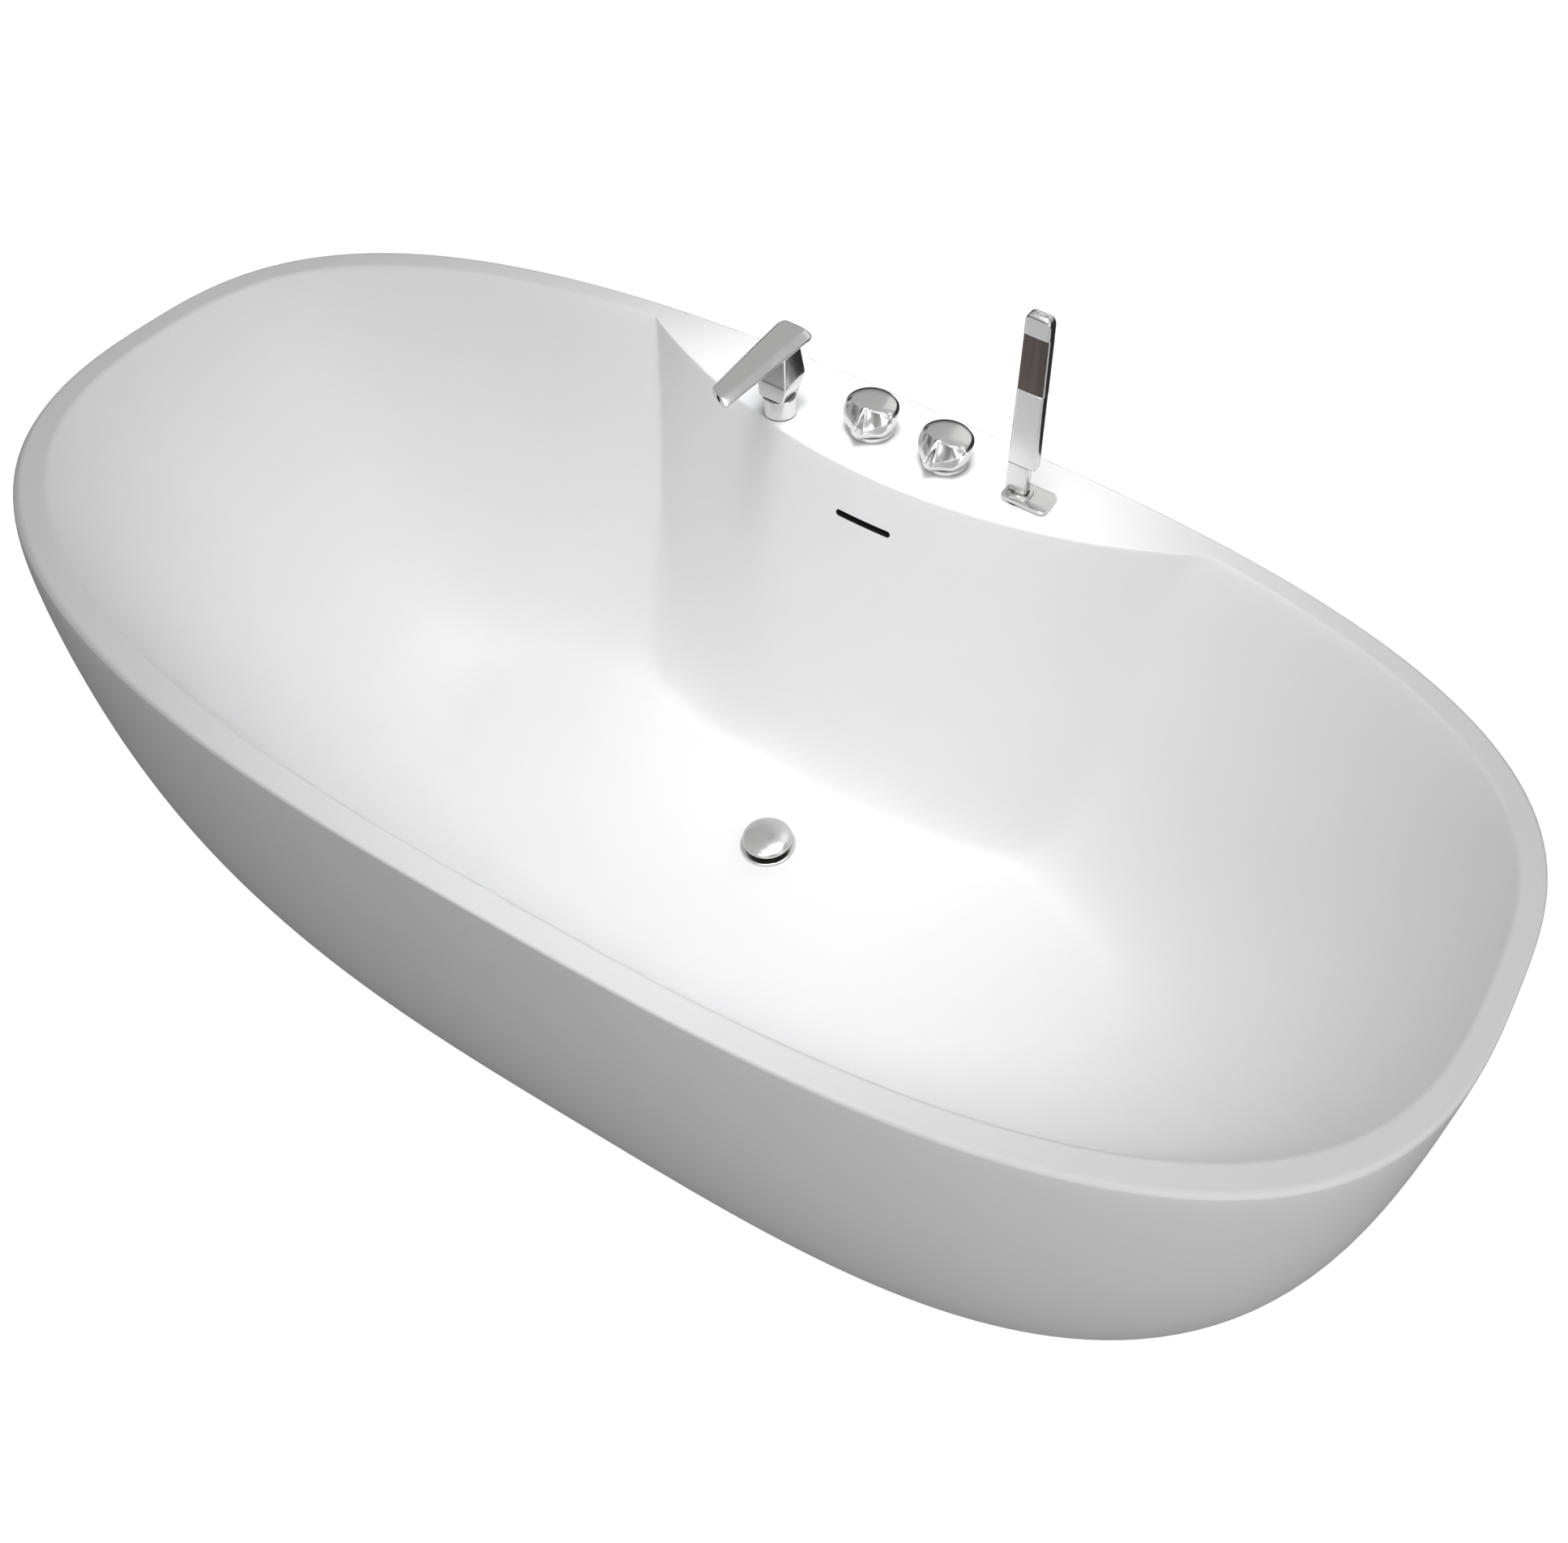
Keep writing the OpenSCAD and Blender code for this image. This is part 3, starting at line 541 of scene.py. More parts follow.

# The dark bronze is the spray face's own colour; it also serves as painted shade inside the spout's nozzle.
dark_face, shader = plain_shader("dark_bronze_face_and_nozzle_shade", (0.06, 0.047, 0.042), 0.34)
streaks = noise_field(dark_face, 160.0, 4.0, (1, 1, 0.03))
vary_colour(dark_face, shader, streaks, (0.030, 0.023, 0.022), (0.105, 0.078, 0.068))
vary_roughness(dark_face, shader, streaks, 0.28, 0.42)

# %% [markdown]
# ## Turned parts
# Cap, flange, base rings and the spout's foot come off a lathe, so each is a profile of radii and heights
# turned about an upright axis. Sharp profile corners are eased with the same quadratic curve as the rim.

# %% Lathe


def eased(corners, easing, steps=4, closed=True):
    """Polygon with each corner replaced by a quadratic curve that starts and ends easing away from it."""
    corners = np.asarray(corners, float)
    before, after = np.roll(corners, 1, 0) - corners, np.roll(corners, -1, 0) - corners
    easing = np.broadcast_to(np.asarray(easing, float), len(corners))[:, None]
    start = corners + before / np.linalg.norm(before, axis=1)[:, None] * easing
    end = corners + after / np.linalg.norm(after, axis=1)[:, None] * easing
    if not closed:
        start[0], end[0] = corners[0], corners[0]
        start[-1], end[-1] = corners[-1], corners[-1]
    t = np.linspace(0, 1, steps + 1)[None, :, None]
    curve = (1 - t) ** 2 * start[:, None] + 2 * t * (1 - t) * corners[:, None] + t ** 2 * end[:, None]
    return curve.reshape(-1, 2)


def without_repeats(profile):
    """Drops points that repeat the one before them."""
    keep = np.ones(len(profile), bool)
    keep[1:] = np.linalg.norm(np.diff(profile, axis=0), axis=1) > 1e-7
    return profile[keep]


def revolved(profile, centre, sides):
    """Rings of points that carry (radius, height) pairs round an upright axis."""
    profile = without_repeats(np.asarray(profile, float))
    a = np.linspace(0, 2 * math.pi, sides, endpoint=False)
    r, z = profile[:, :1], profile[:, 1:]
    return np.stack([centre[0] + r * np.cos(a), centre[1] + r * np.sin(a),
                     np.broadcast_to(z, (len(profile), sides))], -1)


def turned(name, profile, centre, sides=96):
    """Solid of revolution from (radius, height) pairs; a profile that starts and ends on the axis."""
    return closed_loft(name, revolved(profile, centre, sides))


def turned_ring(name, profile, centre, sides=96):
    """Ring of revolution whose closed profile doesn't touch the axis."""
    return hollow_loft(name, revolved(profile, centre, sides))


def middle_of(node):
    """Middle of a node's box in plan."""
    low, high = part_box(node)
    return (low.x + high.x) / 2, (low.y + high.y) / 2


# %% [markdown]
# The waste's cap is a shallow mushroom: a rounded rim with a strong dome on it. The seal under it and the
# stem keep their CAD shape. The flange is a thin dish with a rolled edge and an open barrel.

# %% Cap and flange
cap_low, cap_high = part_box("popup_cap")
cap_radius = (cap_high.x - cap_low.x) / 2
cap_rise = cap_high.z - cap_low.z
dome = np.linspace(math.pi / 2, 0, 24)
dome_base = 0.0026
cap_profile = np.concatenate([
    [[0.0001, cap_low.z], [cap_radius - 0.0025, cap_low.z]],
    np.stack([cap_radius - 0.0012 + 0.0012 * np.cos(np.linspace(-1.4, 0, 6)),
              cap_low.z + 0.0013 + 0.0012 * np.sin(np.linspace(-1.4, 0, 6))], -1),
    np.stack([cap_radius * np.sin(dome) ** 0.9, cap_low.z + dome_base
              + (cap_rise - dome_base) * np.cos(dome) ** 1.15], -1)[:-1],
    [[0.0001, cap_high.z]]])
cap = turned("waste_cap", cap_profile, (0, waste_y))
dress(cap, "cap", ["popup_cap"], chrome)

flange_radius = (flange_high.x - flange_low.x) / 2
barrel_out, barrel_in = 0.0225, 0.0195
flange_profile = eased([(barrel_in, flange_low.z), (barrel_in, flange_high.z - 0.001),
                        (barrel_in + 0.004, flange_high.z), (flange_radius - 0.0015, flange_high.z),
                        (flange_radius, floor_z), (barrel_out, floor_z), (barrel_out, flange_low.z)],
                       [0.0004, 0.0008, 0.0012, 0.0012, 0.0003, 0.0003, 0.0004])
flange = turned_ring("waste_flange_ring", flange_profile, (0, waste_y))
dress(flange, "tub", ["waste_flange"], chrome)

# %% Base rings and the spout's foot
for node, name in (("mixer_base_ring", "mixer_ring"), ("diverter_base_ring", "diverter_ring")):
    low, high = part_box(node)
    ring_radius = (high.x - low.x) / 2
    ring_bore = 0.0166
    ring_profile = eased([(ring_bore, low.z), (ring_bore, high.z), (ring_radius, high.z),
                          (ring_radius, low.z)], [0.0004, 0.0004, 0.001, 0.0004])
    dress(turned_ring(name, ring_profile, middle_of(node)), "tub", [node], chrome)

foot_low, foot_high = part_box("spout_foot")
foot_radius = (foot_high.x - foot_low.x) / 2
foot_bore = 0.01105
foot_profile = eased([(foot_bore, foot_low.z), (foot_bore, foot_high.z), (foot_radius, foot_high.z),
                      (foot_radius, foot_low.z)], [0.0003, 0.0003, 0.0012, 0.0006])
dress(turned_ring("spout_base", foot_profile, middle_of("spout_foot")), "tub", ["spout_foot"],
      chrome)

# %% [markdown]
# ## The spout
# A flat blade lies on a leaning neck. The blade narrows towards the front and its end is cut a little
# aslant. Its left edge is bevelled, its right side is hollowed like a cove, and water leaves by a round
# hole in the front end. The section is an eased polygon carried along the blade, with its width a
# function of the distance, so the taper and the rounded plan corners come from one formula. The hole
# needs no cutting: the last rings shrink to a circle and go back inwards.

# %% Blade
blade_low, blade_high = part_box("spout_blade")
blade_x = (blade_low.x + blade_high.x) / 2
blade_back_half = (blade_high.x - blade_low.x) / 2
blade_front_half = 0.0155
blade_len = blade_high.y - blade_low.y
blade_t = blade_high.z - blade_low.z
BACK_CORNER, FRONT_CORNER = 0.009, 0.006
END_EASE = 0.0008
SLANT = 0.10
LEFT_BEVEL = 0.0034
NOZZLE_RADIUS = 0.0039


def corner_loss(distance, radius):
    """How much a round plan corner takes off the half width at a distance from the end."""
    left = np.clip(radius - distance, 0, radius)
    return radius - np.sqrt(radius ** 2 - left ** 2)


def blade_section(half, thick):
    """Outline in (x, z): flat top, bevelled left edge, coved right side, flat underside."""
    cove = [(half, 0.42 * thick), (half - 0.0045, 0.72 * thick), (half - 0.011, thick)]
    left = [(-half + LEFT_BEVEL, thick), (-half, thick - LEFT_BEVEL), (-half, 0.0)]
    easing = [0.0012, 0.0015, 0.0025, 0.0035, 0.0008, 0.0008, 0.001]
    return eased([(half - 0.002, 0.0), *cove, *left], easing, 5)


along = np.concatenate([[0, 0.0004, 0.001, 0.002, 0.0035, 0.0055, 0.008], np.linspace(0.012, 0.148, 18)])
along = np.concatenate([along, [0.1535, 0.156, 0.1577, 0.1588, 0.1595, 0.16]]) / 0.16 * blade_len
blade_rings = []
for d in along:
    taper = blade_back_half + (blade_front_half - blade_back_half) * d / blade_len
    half = taper - corner_loss(d, BACK_CORNER) * 0.8 - corner_loss(blade_len - d, FRONT_CORNER) * 0.8
    ease = corner_loss(d, 2 * END_EASE) + corner_loss(blade_len - d, END_EASE / 2)
    section = blade_section(half, blade_t - 2 * ease)
    blade_rings.append(np.column_stack([blade_x + section[:, 0], np.full(len(section), blade_high.y - d),
                                        blade_low.z + ease + section[:, 1]]))
front_ring = blade_rings[-1]
nozzle = np.arctan2((front_ring[:, 2] - blade_low.z - blade_t / 2) / blade_t,
                    (front_ring[:, 0] - blade_x) / (2 * blade_front_half))
for deep in (0.0, 0.0004, 0.004, 0.014):
    radius = NOZZLE_RADIUS - min(deep, 0.0004) * 0.5
    blade_rings.append(np.column_stack([blade_x + radius * np.cos(nozzle),
                                        np.full(len(nozzle), blade_low.y + deep),
                                        blade_low.z + blade_t / 2 + radius * np.sin(nozzle)]))
blade_points = np.stack(blade_rings)
run = blade_high.y - blade_points[..., 1]
leftness = (blade_x + blade_front_half - blade_points[..., 0]) / (2 * blade_front_half)
blade_points[..., 1] = blade_high.y - run * (1 - SLANT * leftness * (run / blade_len) ** 3)
blade = closed_loft("spout_top", blade_points)
dress(blade, "tub", ["spout_blade"], chrome)
# The faces inside the nozzle hole take the dark spray-face finish: painted shade in the hole.
blade.data.materials.append(dark_face)
middles = np.empty(len(blade.data.polygons) * 3)
blade.data.polygons.foreach_get("center", middles)
middles = middles.reshape(-1, 3)
from_axis = np.hypot(middles[:, 0] - blade_x, middles[:, 2] - blade_low.z - blade_t / 2)
nozzle_shade_faces = (from_axis < NOZZLE_RADIUS * 0.97) & (middles[:, 1] < blade_low.y + 0.04)
blade.data.polygons.foreach_set("material_index", nozzle_shade_faces.astype(np.int32))

# %% [markdown]
# The neck is a faceted block. It starts narrow on the foot, swells to a sharp shoulder and leans back as
# it narrows again under the blade. Sections are eased rectangles at a few heights, joined straight, so
# the facets stay flat and the shoulder stays crisp. The neck drawn here is 39 mm wide at the shoulder
# and 56 mm deep over all; the CAD neck is 30 mm and 53 mm.

# %% Neck
neck_low, neck_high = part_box("spout_neck")
neck_height = neck_high.z - neck_low.z
foot_x, foot_y = middle_of("spout_foot")
NECK_EASE = 0.0035
# share of the height, half width, half depth, shift along X, shift along Y
neck_levels = ((0.0, 0.0150, 0.0165, 0.000, 0.000), (0.03, 0.0165, 0.0180, 0.000, 0.000),
               (0.34, 0.0195, 0.0205, 0.001, 0.004), (0.40, 0.0190, 0.0205, 0.001, 0.006),
               (0.80, 0.0115, 0.0165, -0.001, 0.016), (1.0, 0.0125, 0.0170, -0.001, 0.021))
neck_rings = []
for share, half_w, half_d, shift_x, shift_y in neck_levels:
    corners = [(half_w, -half_d), (half_w, half_d), (-half_w, half_d), (-half_w, -half_d)]
    outline = eased(corners, NECK_EASE, 5)
    neck_rings.append(np.column_stack([foot_x + shift_x + outline[:, 0], foot_y + shift_y + outline[:, 1],
                                       np.full(len(outline), neck_low.z + share * neck_height)]))
dress(closed_loft("spout_stem", np.stack(neck_rings)), "tub", ["spout_neck"], chrome)

# %% [markdown]
# ## The knobs
# Each knob is a smooth dome whose front is scooped out on both sides of a ridge, and the ridge runs out
# into a beak for the finger. It is one height field over a polar grid: a dome, less two scoops that
# start sharply under a brow, with a ridge left standing between them. The same shape serves both
# valves; only its direction differs, as two castings from one mould. It is drawn wider than the CAD
# handle: 32.5 mm of radius where the CAD has 30 mm, and 38.5 mm of reach where the CAD has 38 mm.

# %% Knob
KNOB_RADIUS = 0.0325
BEAK_REACH = 0.0385
EDGE_ROLL = 0.0022


def knob_outline(turn_from_beak):
    """Radius in plan: a circle, flattened a little beside the beak, with a narrow beak on it."""
    beak = np.exp(-((turn_from_beak / 0.15) ** 2))
    flat = np.exp(-(((abs(turn_from_beak) - 0.62) / 0.34) ** 2))
    return KNOB_RADIUS - 0.0032 * flat + (BEAK_REACH - KNOB_RADIUS) * beak


def knob_height(turn_from_beak, share, full):
    """Dome less scoops: share is 0 on the axis and 1 at the outline, full is the knob's height."""
    side = abs(turn_from_beak)
    dome = full * (1 - 0.08 * share ** 2 - 0.10 * share ** 6)
    in_front = 1 - smooth_step((side - 0.85) / 0.75)
    brow = 0.42 + 0.30 * smooth_step(side / 1.2)
    under_brow = np.clip((share - brow) / (1 - brow), 0, 1)
    ridge = np.exp(-((side / (0.07 + 0.20 * (1 - share))) ** 2))
    return dome - full * 0.50 * under_brow * in_front * (1 - 0.5 * ridge)


def knob(name, node, grip_degrees):
    """Knob with its beak turned to a direction from +X, on the node's axis."""
    low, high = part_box(node)
    axis_x, axis_y = middle_of(node.replace("handle", "spindle"))
    full = high.z - low.z
    turns = np.radians(np.concatenate([np.arange(-180, -75, 4), np.arange(-75, 75, 1.5),
                                       np.arange(75, 180, 4)]))
    outline = knob_outline(turns)
    shares = np.concatenate([np.linspace(0.004, 0.9, 46), np.linspace(0.92, 1, 6)])
    heading = turns + math.radians(grip_degrees)
    direction_x, direction_y = np.cos(heading), np.sin(heading)
    rings = []
    for share in shares:
        z = low.z + knob_height(turns, share, full) - EDGE_ROLL * smooth_step((share - 0.90) / 0.10)
        rings.append(np.stack([share * outline * direction_x, share * outline * direction_y, z], -1))
    edge = rings[-1]
    for keep, height in ((0.995, 0.82), (0.95, 0.42), (0.84, 0.10), (0.82, 0.03), (0.82, 0.0)):
        z = low.z + (edge[:, 2] - low.z) * height
        rings.append(np.stack([edge[:, 0] * keep, edge[:, 1] * keep, z], -1))
    rings += [rings[-1] * (0.5, 0.5, 1), rings[-1] * (0.004, 0.004, 1)]
    points = np.stack(rings) + (axis_x, axis_y, 0)
    return closed_loft(name, points)


for body, node, name, grip in (("mixer_knob", "mixer_handle", "mixer_grip", 272),
                               ("diverter_knob", "diverter_handle", "diverter_grip", 262)):
    dress(knob(name, node, grip), body, [node], chrome)

# %% [markdown]
# ## The hand shower
# A slim slab stands in a low plate. Its upper part carries a dark spray face in a chrome frame, with a
# bright tip above it. Its foot is narrower on one side, which leaves a step, and its left edge leans in
# a little. Sections are eased rectangles again, carried upwards.

# %% Hand shower body
shower_low, shower_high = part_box("handshower_body")
tip_low, tip_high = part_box("handshower_tip")
face_low, face_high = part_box("handshower_face")
shower_x, shower_y = middle_of("handshower_tip")
shower_half = (tip_high.x - tip_low.x) / 2
shower_thick = (tip_high.y - tip_low.y) / 2
STEP_Z, STEP_IN = rim_z + 0.047, 0.0085
LEAN = 0.0055
SLAB_EASE = 0.004


def slab_ring(z, left, right_edge, front, rear, easing):
    """Eased rectangle at one height, from its four limits about the hand shower's axis."""
    outline = eased([(right_edge, front), (right_edge, rear), (left, rear), (left, front)], easing, 6)
    return np.column_stack([shower_x + outline[:, 0], shower_y + outline[:, 1], np.full(len(outline), z)])


def left_edge_at(z):
    """The slab's left edge leans in towards the top; its right edge is upright."""
    return -shower_half + LEAN * (z - shower_low.z) / (tip_high.z - shower_low.z)


body_rings = []
for z, ease in ((shower_low.z, 0.0016), (shower_low.z + 0.0006, 0.0006), (shower_low.z + 0.0016, 0.0),
                (STEP_Z - 0.03, 0.0), (STEP_Z, 0.0)):
    body_rings.append(slab_ring(z, left_edge_at(z) + ease, shower_half - STEP_IN - ease,
                                -shower_thick + ease, shower_thick - ease, SLAB_EASE))
for z, ease in ((STEP_Z, 0.001), (STEP_Z + 0.0006, 0.0003), (STEP_Z + 0.0015, 0.0),
                (STEP_Z + 0.05, 0.0), (face_low.z - 0.0012, 0.0), (face_low.z - 0.0004, 0.0006)):
    body_rings.append(slab_ring(z, left_edge_at(z) + ease, shower_half - ease,
                                -shower_thick + ease, shower_thick - ease, SLAB_EASE))
seat = 0.0021
for z in (face_low.z - 0.0003, shower_high.z):
    body_rings.append(slab_ring(z, left_edge_at(z), shower_half, -shower_thick + seat, shower_thick, 0.003))
dress(closed_loft("handset", np.stack(body_rings)), "handshower", ["handshower_body"], chrome)

# %% Spray face
face_rings = []
for z, ease in ((face_low.z, 0.0008), (face_low.z + 0.0008, 0.0), (face_high.z - 0.0002, 0.0)):
    front = -shower_thick + 0.0002 + ease
    face_rings.append(slab_ring(z, left_edge_at(z) + 0.0012 + ease, shower_half - 0.0012 - ease, front,
                                -shower_thick + seat - 0.0001, 0.0005))
dress(closed_loft("spray_face", np.stack(face_rings)), "handshower", ["handshower_face"],
      dark_face)

# %% Tip
TIP_ROUND = 0.010
tip_rings = []
tip_span = tip_high.z - tip_low.z
tip_up = np.concatenate([[0.0, 0.0008], np.linspace(0.003, tip_span - TIP_ROUND, 6),
                         tip_span - TIP_ROUND * (1 - np.sin(np.linspace(0.15, 1, 9) * math.pi / 2))])
for up_by in tip_up:
    z = tip_low.z + up_by
    width_loss = corner_loss(tip_span - up_by, TIP_ROUND) * 0.75
    depth_loss = corner_loss(tip_span - up_by, 0.004)
    tip_rings.append(slab_ring(z, left_edge_at(z) + width_loss, shower_half - width_loss,
                               -shower_thick + depth_loss, shower_thick - depth_loss, 0.0038))
dress(closed_loft("handset_tip", np.stack(tip_rings)), "handshower", ["handshower_tip"], chrome)

# %% [markdown]
# The plate under the hand shower is a thin pressed piece with a raised rim round the opening.

# %% Plate
plate_low, plate_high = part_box("shower_holder")
plate_x = (plate_low.x + plate_high.x) / 2
plate_half_x, plate_half_y = (plate_high.x - plate_low.x) / 2, (plate_high.y - plate_low.y) / 2
PLATE_TOP = plate_low.z + 0.004
guide_x, guide_y = middle_of("guide_sleeve")
GUIDE_BORE, GUIDE_RIM = 0.0106, 0.0155


def plate_ring(shrink, z, easing=0.009, count=24):
    """Plate's outline, drawn in by a distance, with the same number of points for each ring."""
    half_x, half_y = plate_half_x - shrink, plate_half_y - shrink
    outline = eased([(half_x, -half_y), (half_x, half_y), (-half_x, half_y), (-half_x, -half_y)],
                    easing, count)
    return np.column_stack([plate_x + outline[:, 0], guide_y + outline[:, 1], np.full(len(outline), z)])


def guide_ring(radius, z, like):
    """Circle about the guide with a point in the direction of each point of another ring."""
    angle = np.arctan2(like[:, 1] - guide_y, like[:, 0] - guide_x)
    return np.column_stack([guide_x + radius * np.cos(angle), guide_y + radius * np.sin(angle),
                            np.full(len(angle), z)])


edge_ring = plate_ring(0.0, plate_low.z)
plate_rings = np.stack([
    guide_ring(GUIDE_BORE, plate_low.z, edge_ring), edge_ring, plate_ring(0.0, PLATE_TOP - 0.001),
    plate_ring(0.0003, PLATE_TOP - 0.0003), plate_ring(0.001, PLATE_TOP),
    guide_ring(GUIDE_RIM, PLATE_TOP, edge_ring),
    guide_ring(GUIDE_RIM - 0.0004, plate_high.z - 0.0004, edge_ring),
    guide_ring(GUIDE_RIM - 0.001, plate_high.z, edge_ring),
    guide_ring(GUIDE_BORE, plate_high.z, edge_ring)])
dress(hollow_loft("shower_plate", plate_rings), "tub", ["shower_holder"], chrome)

# %% [markdown]
# ## Finishes of the parts that keep their CAD shape
# The frame, the waste, the valves and the pipes are plain turned, cut or bent stock, so their CAD meshes
# are right as they are. Each gets the finish of its material slot in the record: plywood with its grain
# along the board, primed steel, zinc plate, rubber, brass, copper, grey plastic and a white hose.

# %% Finishes by slot
plywood, shader = plain_shader("birch_plywood", (0.62, 0.47, 0.31), 0.65)
grain = noise_field(plywood, 22.0, 6.0, (1, 9, 9))
vary_colour(plywood, shader, grain, (0.50, 0.36, 0.22), (0.70, 0.55, 0.38))
raise_bumps(plywood, shader, grain, 0.0002)

primed_steel, shader = plain_shader("primed_steel", (0.30, 0.31, 0.32), 0.5)
vary_colour(primed_steel, shader, noise_field(primed_steel, 30.0), (0.27, 0.28, 0.29), (0.34, 0.35, 0.36))
raise_bumps(primed_steel, shader, noise_field(primed_steel, 700.0, 2.0), 0.00004)

zinc, shader = plain_shader("zinc_plate", (0.66, 0.67, 0.68), 0.35, 1.0)
vary_roughness(zinc, shader, noise_field(zinc, 90.0), 0.28, 0.45)

rubber, shader = plain_shader("black_rubber", (0.03, 0.03, 0.03), 0.7)
vary_roughness(rubber, shader, noise_field(rubber, 200.0), 0.62, 0.8)
raise_bumps(rubber, shader, noise_field(rubber, 900.0), 0.00003)

brass, shader = plain_shader("turned_brass", (0.78, 0.60, 0.32), 0.3, 1.0)
vary_roughness(brass, shader, noise_field(brass, 40.0, 4.0, (1, 1, 12)), 0.22, 0.4)

copper, shader = plain_shader("drawn_copper", (0.80, 0.48, 0.35), 0.28, 1.0)
vary_roughness(copper, shader, noise_field(copper, 35.0, 4.0), 0.2, 0.38)

grey_plastic, shader = plain_shader("grey_plastic", (0.40, 0.41, 0.42), 0.5)
raise_bumps(grey_plastic, shader, noise_field(grey_plastic, 600.0), 0.00002)

hose_plastic, shader = plain_shader("white_hose", (0.80, 0.80, 0.78), 0.45)
vary_colour(hose_plastic, shader, noise_field(hose_plastic, 20.0), (0.76, 0.76, 0.74), (0.82, 0.82, 0.80))

# Near-black for the overflow housing behind the slot: painted shade, not its own colour.
painted_shade_black, shader = plain_shader("painted_shade_black", (0.012, 0.012, 0.012), 0.6)
raise_bumps(painted_shade_black, shader, noise_field(painted_shade_black, 600.0), 0.00002)

finish_of_slot = {"satin_acrylic": acrylic, "plywood": plywood, "galvanised_steel": primed_steel,
                  "zinc_steel": zinc, "black_rubber": rubber, "chrome": chrome, "brass": brass,
                  "grey_plastic": grey_plastic, "hose_plastic": hose_plastic, "copper_pipe": copper,
                  "dark_face": dark_face}
for part in frame["record"]["subparts"]:
    node = frame["nodes"][part["node"]]
    node.data.materials.clear()
    node.data.materials.append(finish_of_slot[part["material_slot"]])
# The overflow housing, seen through the slot, is made black in place of its record finish: painted shade
# behind the slot.
frame["nodes"]["overflow_housing"].data.materials[0] = painted_shade_black

# %% [markdown]
# ## Floor and light
# The floor is pale and plain. It throws no light and no reflection back at the tub, so that the skirt can
# turn dark towards the left and the chrome can have dark edges, as both do in a studio with black flags.

# %% Floor
FLOOR_SIZE = 30.0
floor_mesh = bpy.data.meshes.new("floor")
half_floor = FLOOR_SIZE / 2
floor_mesh.from_pydata([(-half_floor, -half_floor, 0), (half_floor, -half_floor, 0),
                        (half_floor, half_floor, 0), (-half_floor, half_floor, 0)], [], [(0, 1, 2, 3)])
floor = bpy.data.objects.new("floor", floor_mesh)
bpy.context.scene.collection.objects.link(floor)
floor_finish, shader = plain_shader("pale_floor", (0.15, 0.15, 0.15), 0.8)
shader.inputs["Emission Color"].default_value = (1, 1, 1, 1)
shader.inputs["Emission Strength"].default_value = 0.95
floor_mesh.materials.append(floor_finish)
floor.visible_diffuse = False
floor.visible_glossy = False

# %% Soft boxes
scene = bpy.context.scene
scene.view_settings.view_transform = "Standard"


def soft_box(name, place, aim, size, spread, power, colour=(1, 1, 1)):
    """Square area light at a place, turned to aim at a point; spread is its beam's angle in degrees."""
    data = bpy.data.lights.new(name, "AREA")
    data.shape = "SQUARE"
    data.size = size
    data.spread = math.radians(spread)
    data.energy = power
    data.color = colour
    lamp = bpy.data.objects.new(name, data)
    lamp.location = place
    lamp.rotation_euler = (Vector(aim) - Vector(place)).to_track_quat("-Z", "Y").to_euler()
    scene.collection.objects.link(lamp)
    return lamp


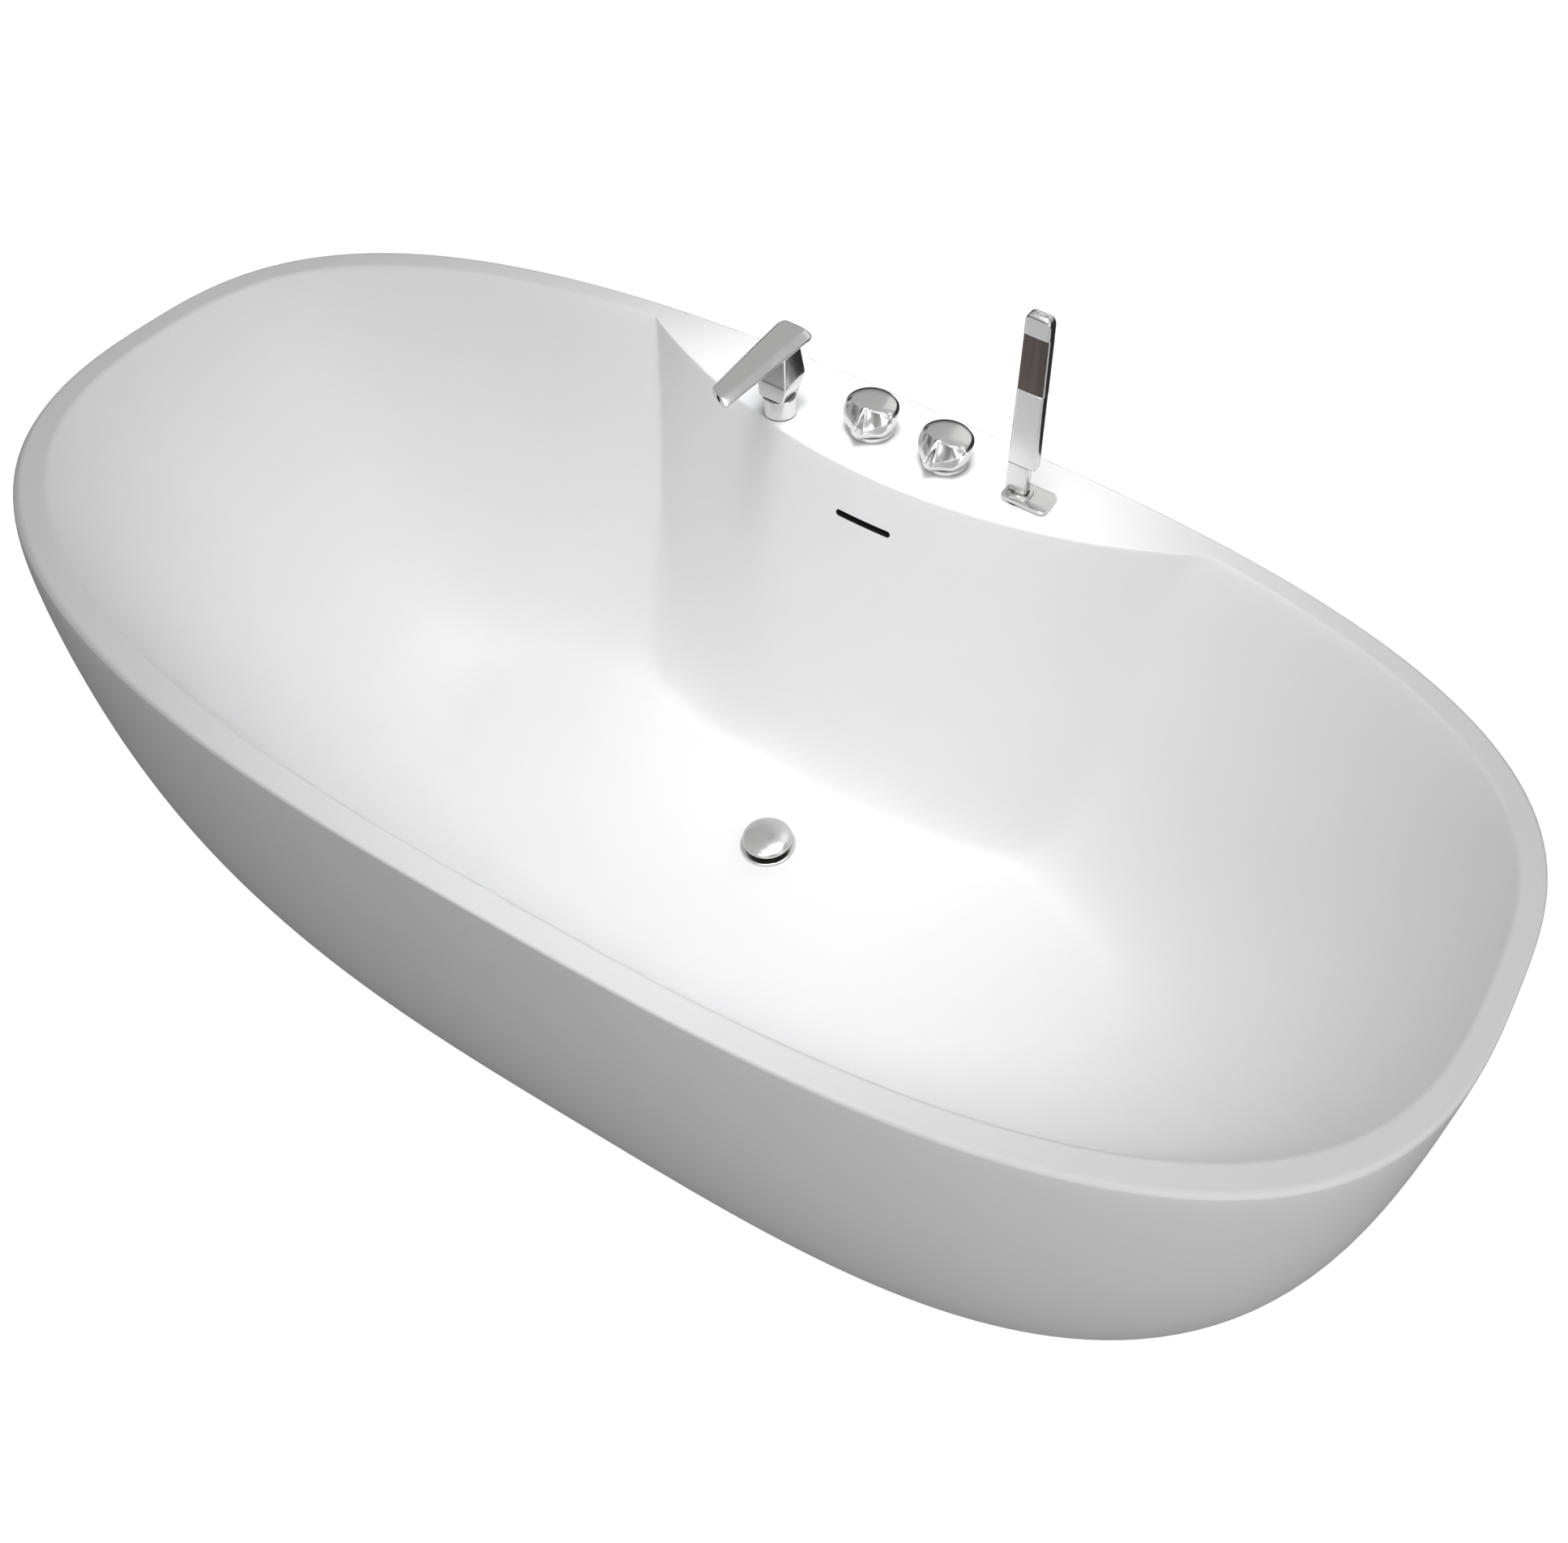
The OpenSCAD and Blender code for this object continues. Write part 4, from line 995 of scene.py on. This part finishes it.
# name, place, aim, size of the box, spread of the beam in degrees, power in watts
for row in (("behind", (0, 1.4, 1.3), (0, -0.2, 0.4), 0.8, 120, 0.4),
            ("over_deck", (0.1, 0.45, 1.5), (0.1, 0.3, 0.58), 0.3, 100, 0.62),
            ("deck_middle", (0.12, 0.4, 1.5), (0.12, 0.35, 0.58), 0.15, 30, 0.08),
            ("deck_left", (-0.15, 0.42, 1.5), (-0.15, 0.36, 0.58), 0.15, 30, 0.12),
            ("low_front", (0.8, -2.0, 0.35), (0.3, 0, 0.4), 0.8, 180, 3.2),
            ("front_right", (1.8, -1.4, 0.9), (0.3, 0, 0.3), 1.2, 180, 9.1),
            ("over_near_rim", (0.1, -0.7, 1.5), (0.1, 0.1, 0.3), 0.6, 120, 1.2),
            ("right", (1.6, 0.0, 1.3), (-0.3, 0, 0.3), 0.8, 100, 0.8),
            ("bowl_left", (0.1, 0.3, 1.6), (-0.6, 0.0, 0.3), 0.4, 50, 0.5),
            ("bowl_middle", (0.05, 0, 1.9), (0.05, 0, 0.15), 0.4, 50, 0.92),
            ("bowl_right", (0.35, -0.05, 1.9), (0.35, -0.05, 0.2), 0.4, 50, 0.2),
            ("over_right_end", (0.7, 0.2, 1.7), (0.6, 0, 0.3), 0.6, 120, 0.45)):
    soft_box(*row)

# %% [markdown]
# The sky is the room: a pale ceiling over a dark horizon, a little lighter in front. Mirrors see it
# somewhat brighter than matt parts do, and the camera sees it white, so that the floor has no far edge.

# %% Sky
world = bpy.data.worlds.new("studio")
scene.world = world
world.use_nodes = True
sky = world.node_tree
background = sky.nodes["Background"]
direction = sky.nodes.new("ShaderNodeTexCoord")
axes = sky.nodes.new("ShaderNodeSeparateXYZ")
sky.links.new(direction.outputs["Generated"], axes.inputs["Vector"])
background.inputs["Color"].default_value = (1, 1, 1, 1)
height = sky.nodes.new("ShaderNodeMapRange")
height.inputs["From Min"].default_value = 0.10
height.inputs["From Max"].default_value = 0.45
height.inputs["To Min"].default_value = 0.02
height.inputs["To Max"].default_value = 0.36
sky.links.new(axes.outputs["Z"], height.inputs["Value"])
towards_front = sky.nodes.new("ShaderNodeMapRange")
towards_front.inputs["From Min"].default_value = 0.2
towards_front.inputs["From Max"].default_value = -0.9
towards_front.inputs["To Max"].default_value = 0.12
sky.links.new(axes.outputs["Y"], towards_front.inputs["Value"])
total = sky.nodes.new("ShaderNodeMath")
sky.links.new(towards_front.outputs["Result"], total.inputs[0])
sky.links.new(height.outputs["Result"], total.inputs[1])
ray = sky.nodes.new("ShaderNodeLightPath")
glossy_gain = sky.nodes.new("ShaderNodeMapRange")
glossy_gain.inputs["To Min"].default_value = 1.0
glossy_gain.inputs["To Max"].default_value = 1.6
sky.links.new(ray.outputs["Is Glossy Ray"], glossy_gain.inputs["Value"])
gained = sky.nodes.new("ShaderNodeMath")
gained.operation = "MULTIPLY"
sky.links.new(total.outputs[0], gained.inputs[0])
sky.links.new(glossy_gain.outputs["Result"], gained.inputs[1])
seen = sky.nodes.new("ShaderNodeMath")
seen.operation = "MAXIMUM"
sky.links.new(gained.outputs[0], seen.inputs[0])
sky.links.new(ray.outputs["Is Camera Ray"], seen.inputs[1])
sky.links.new(seen.outputs[0], background.inputs["Strength"])
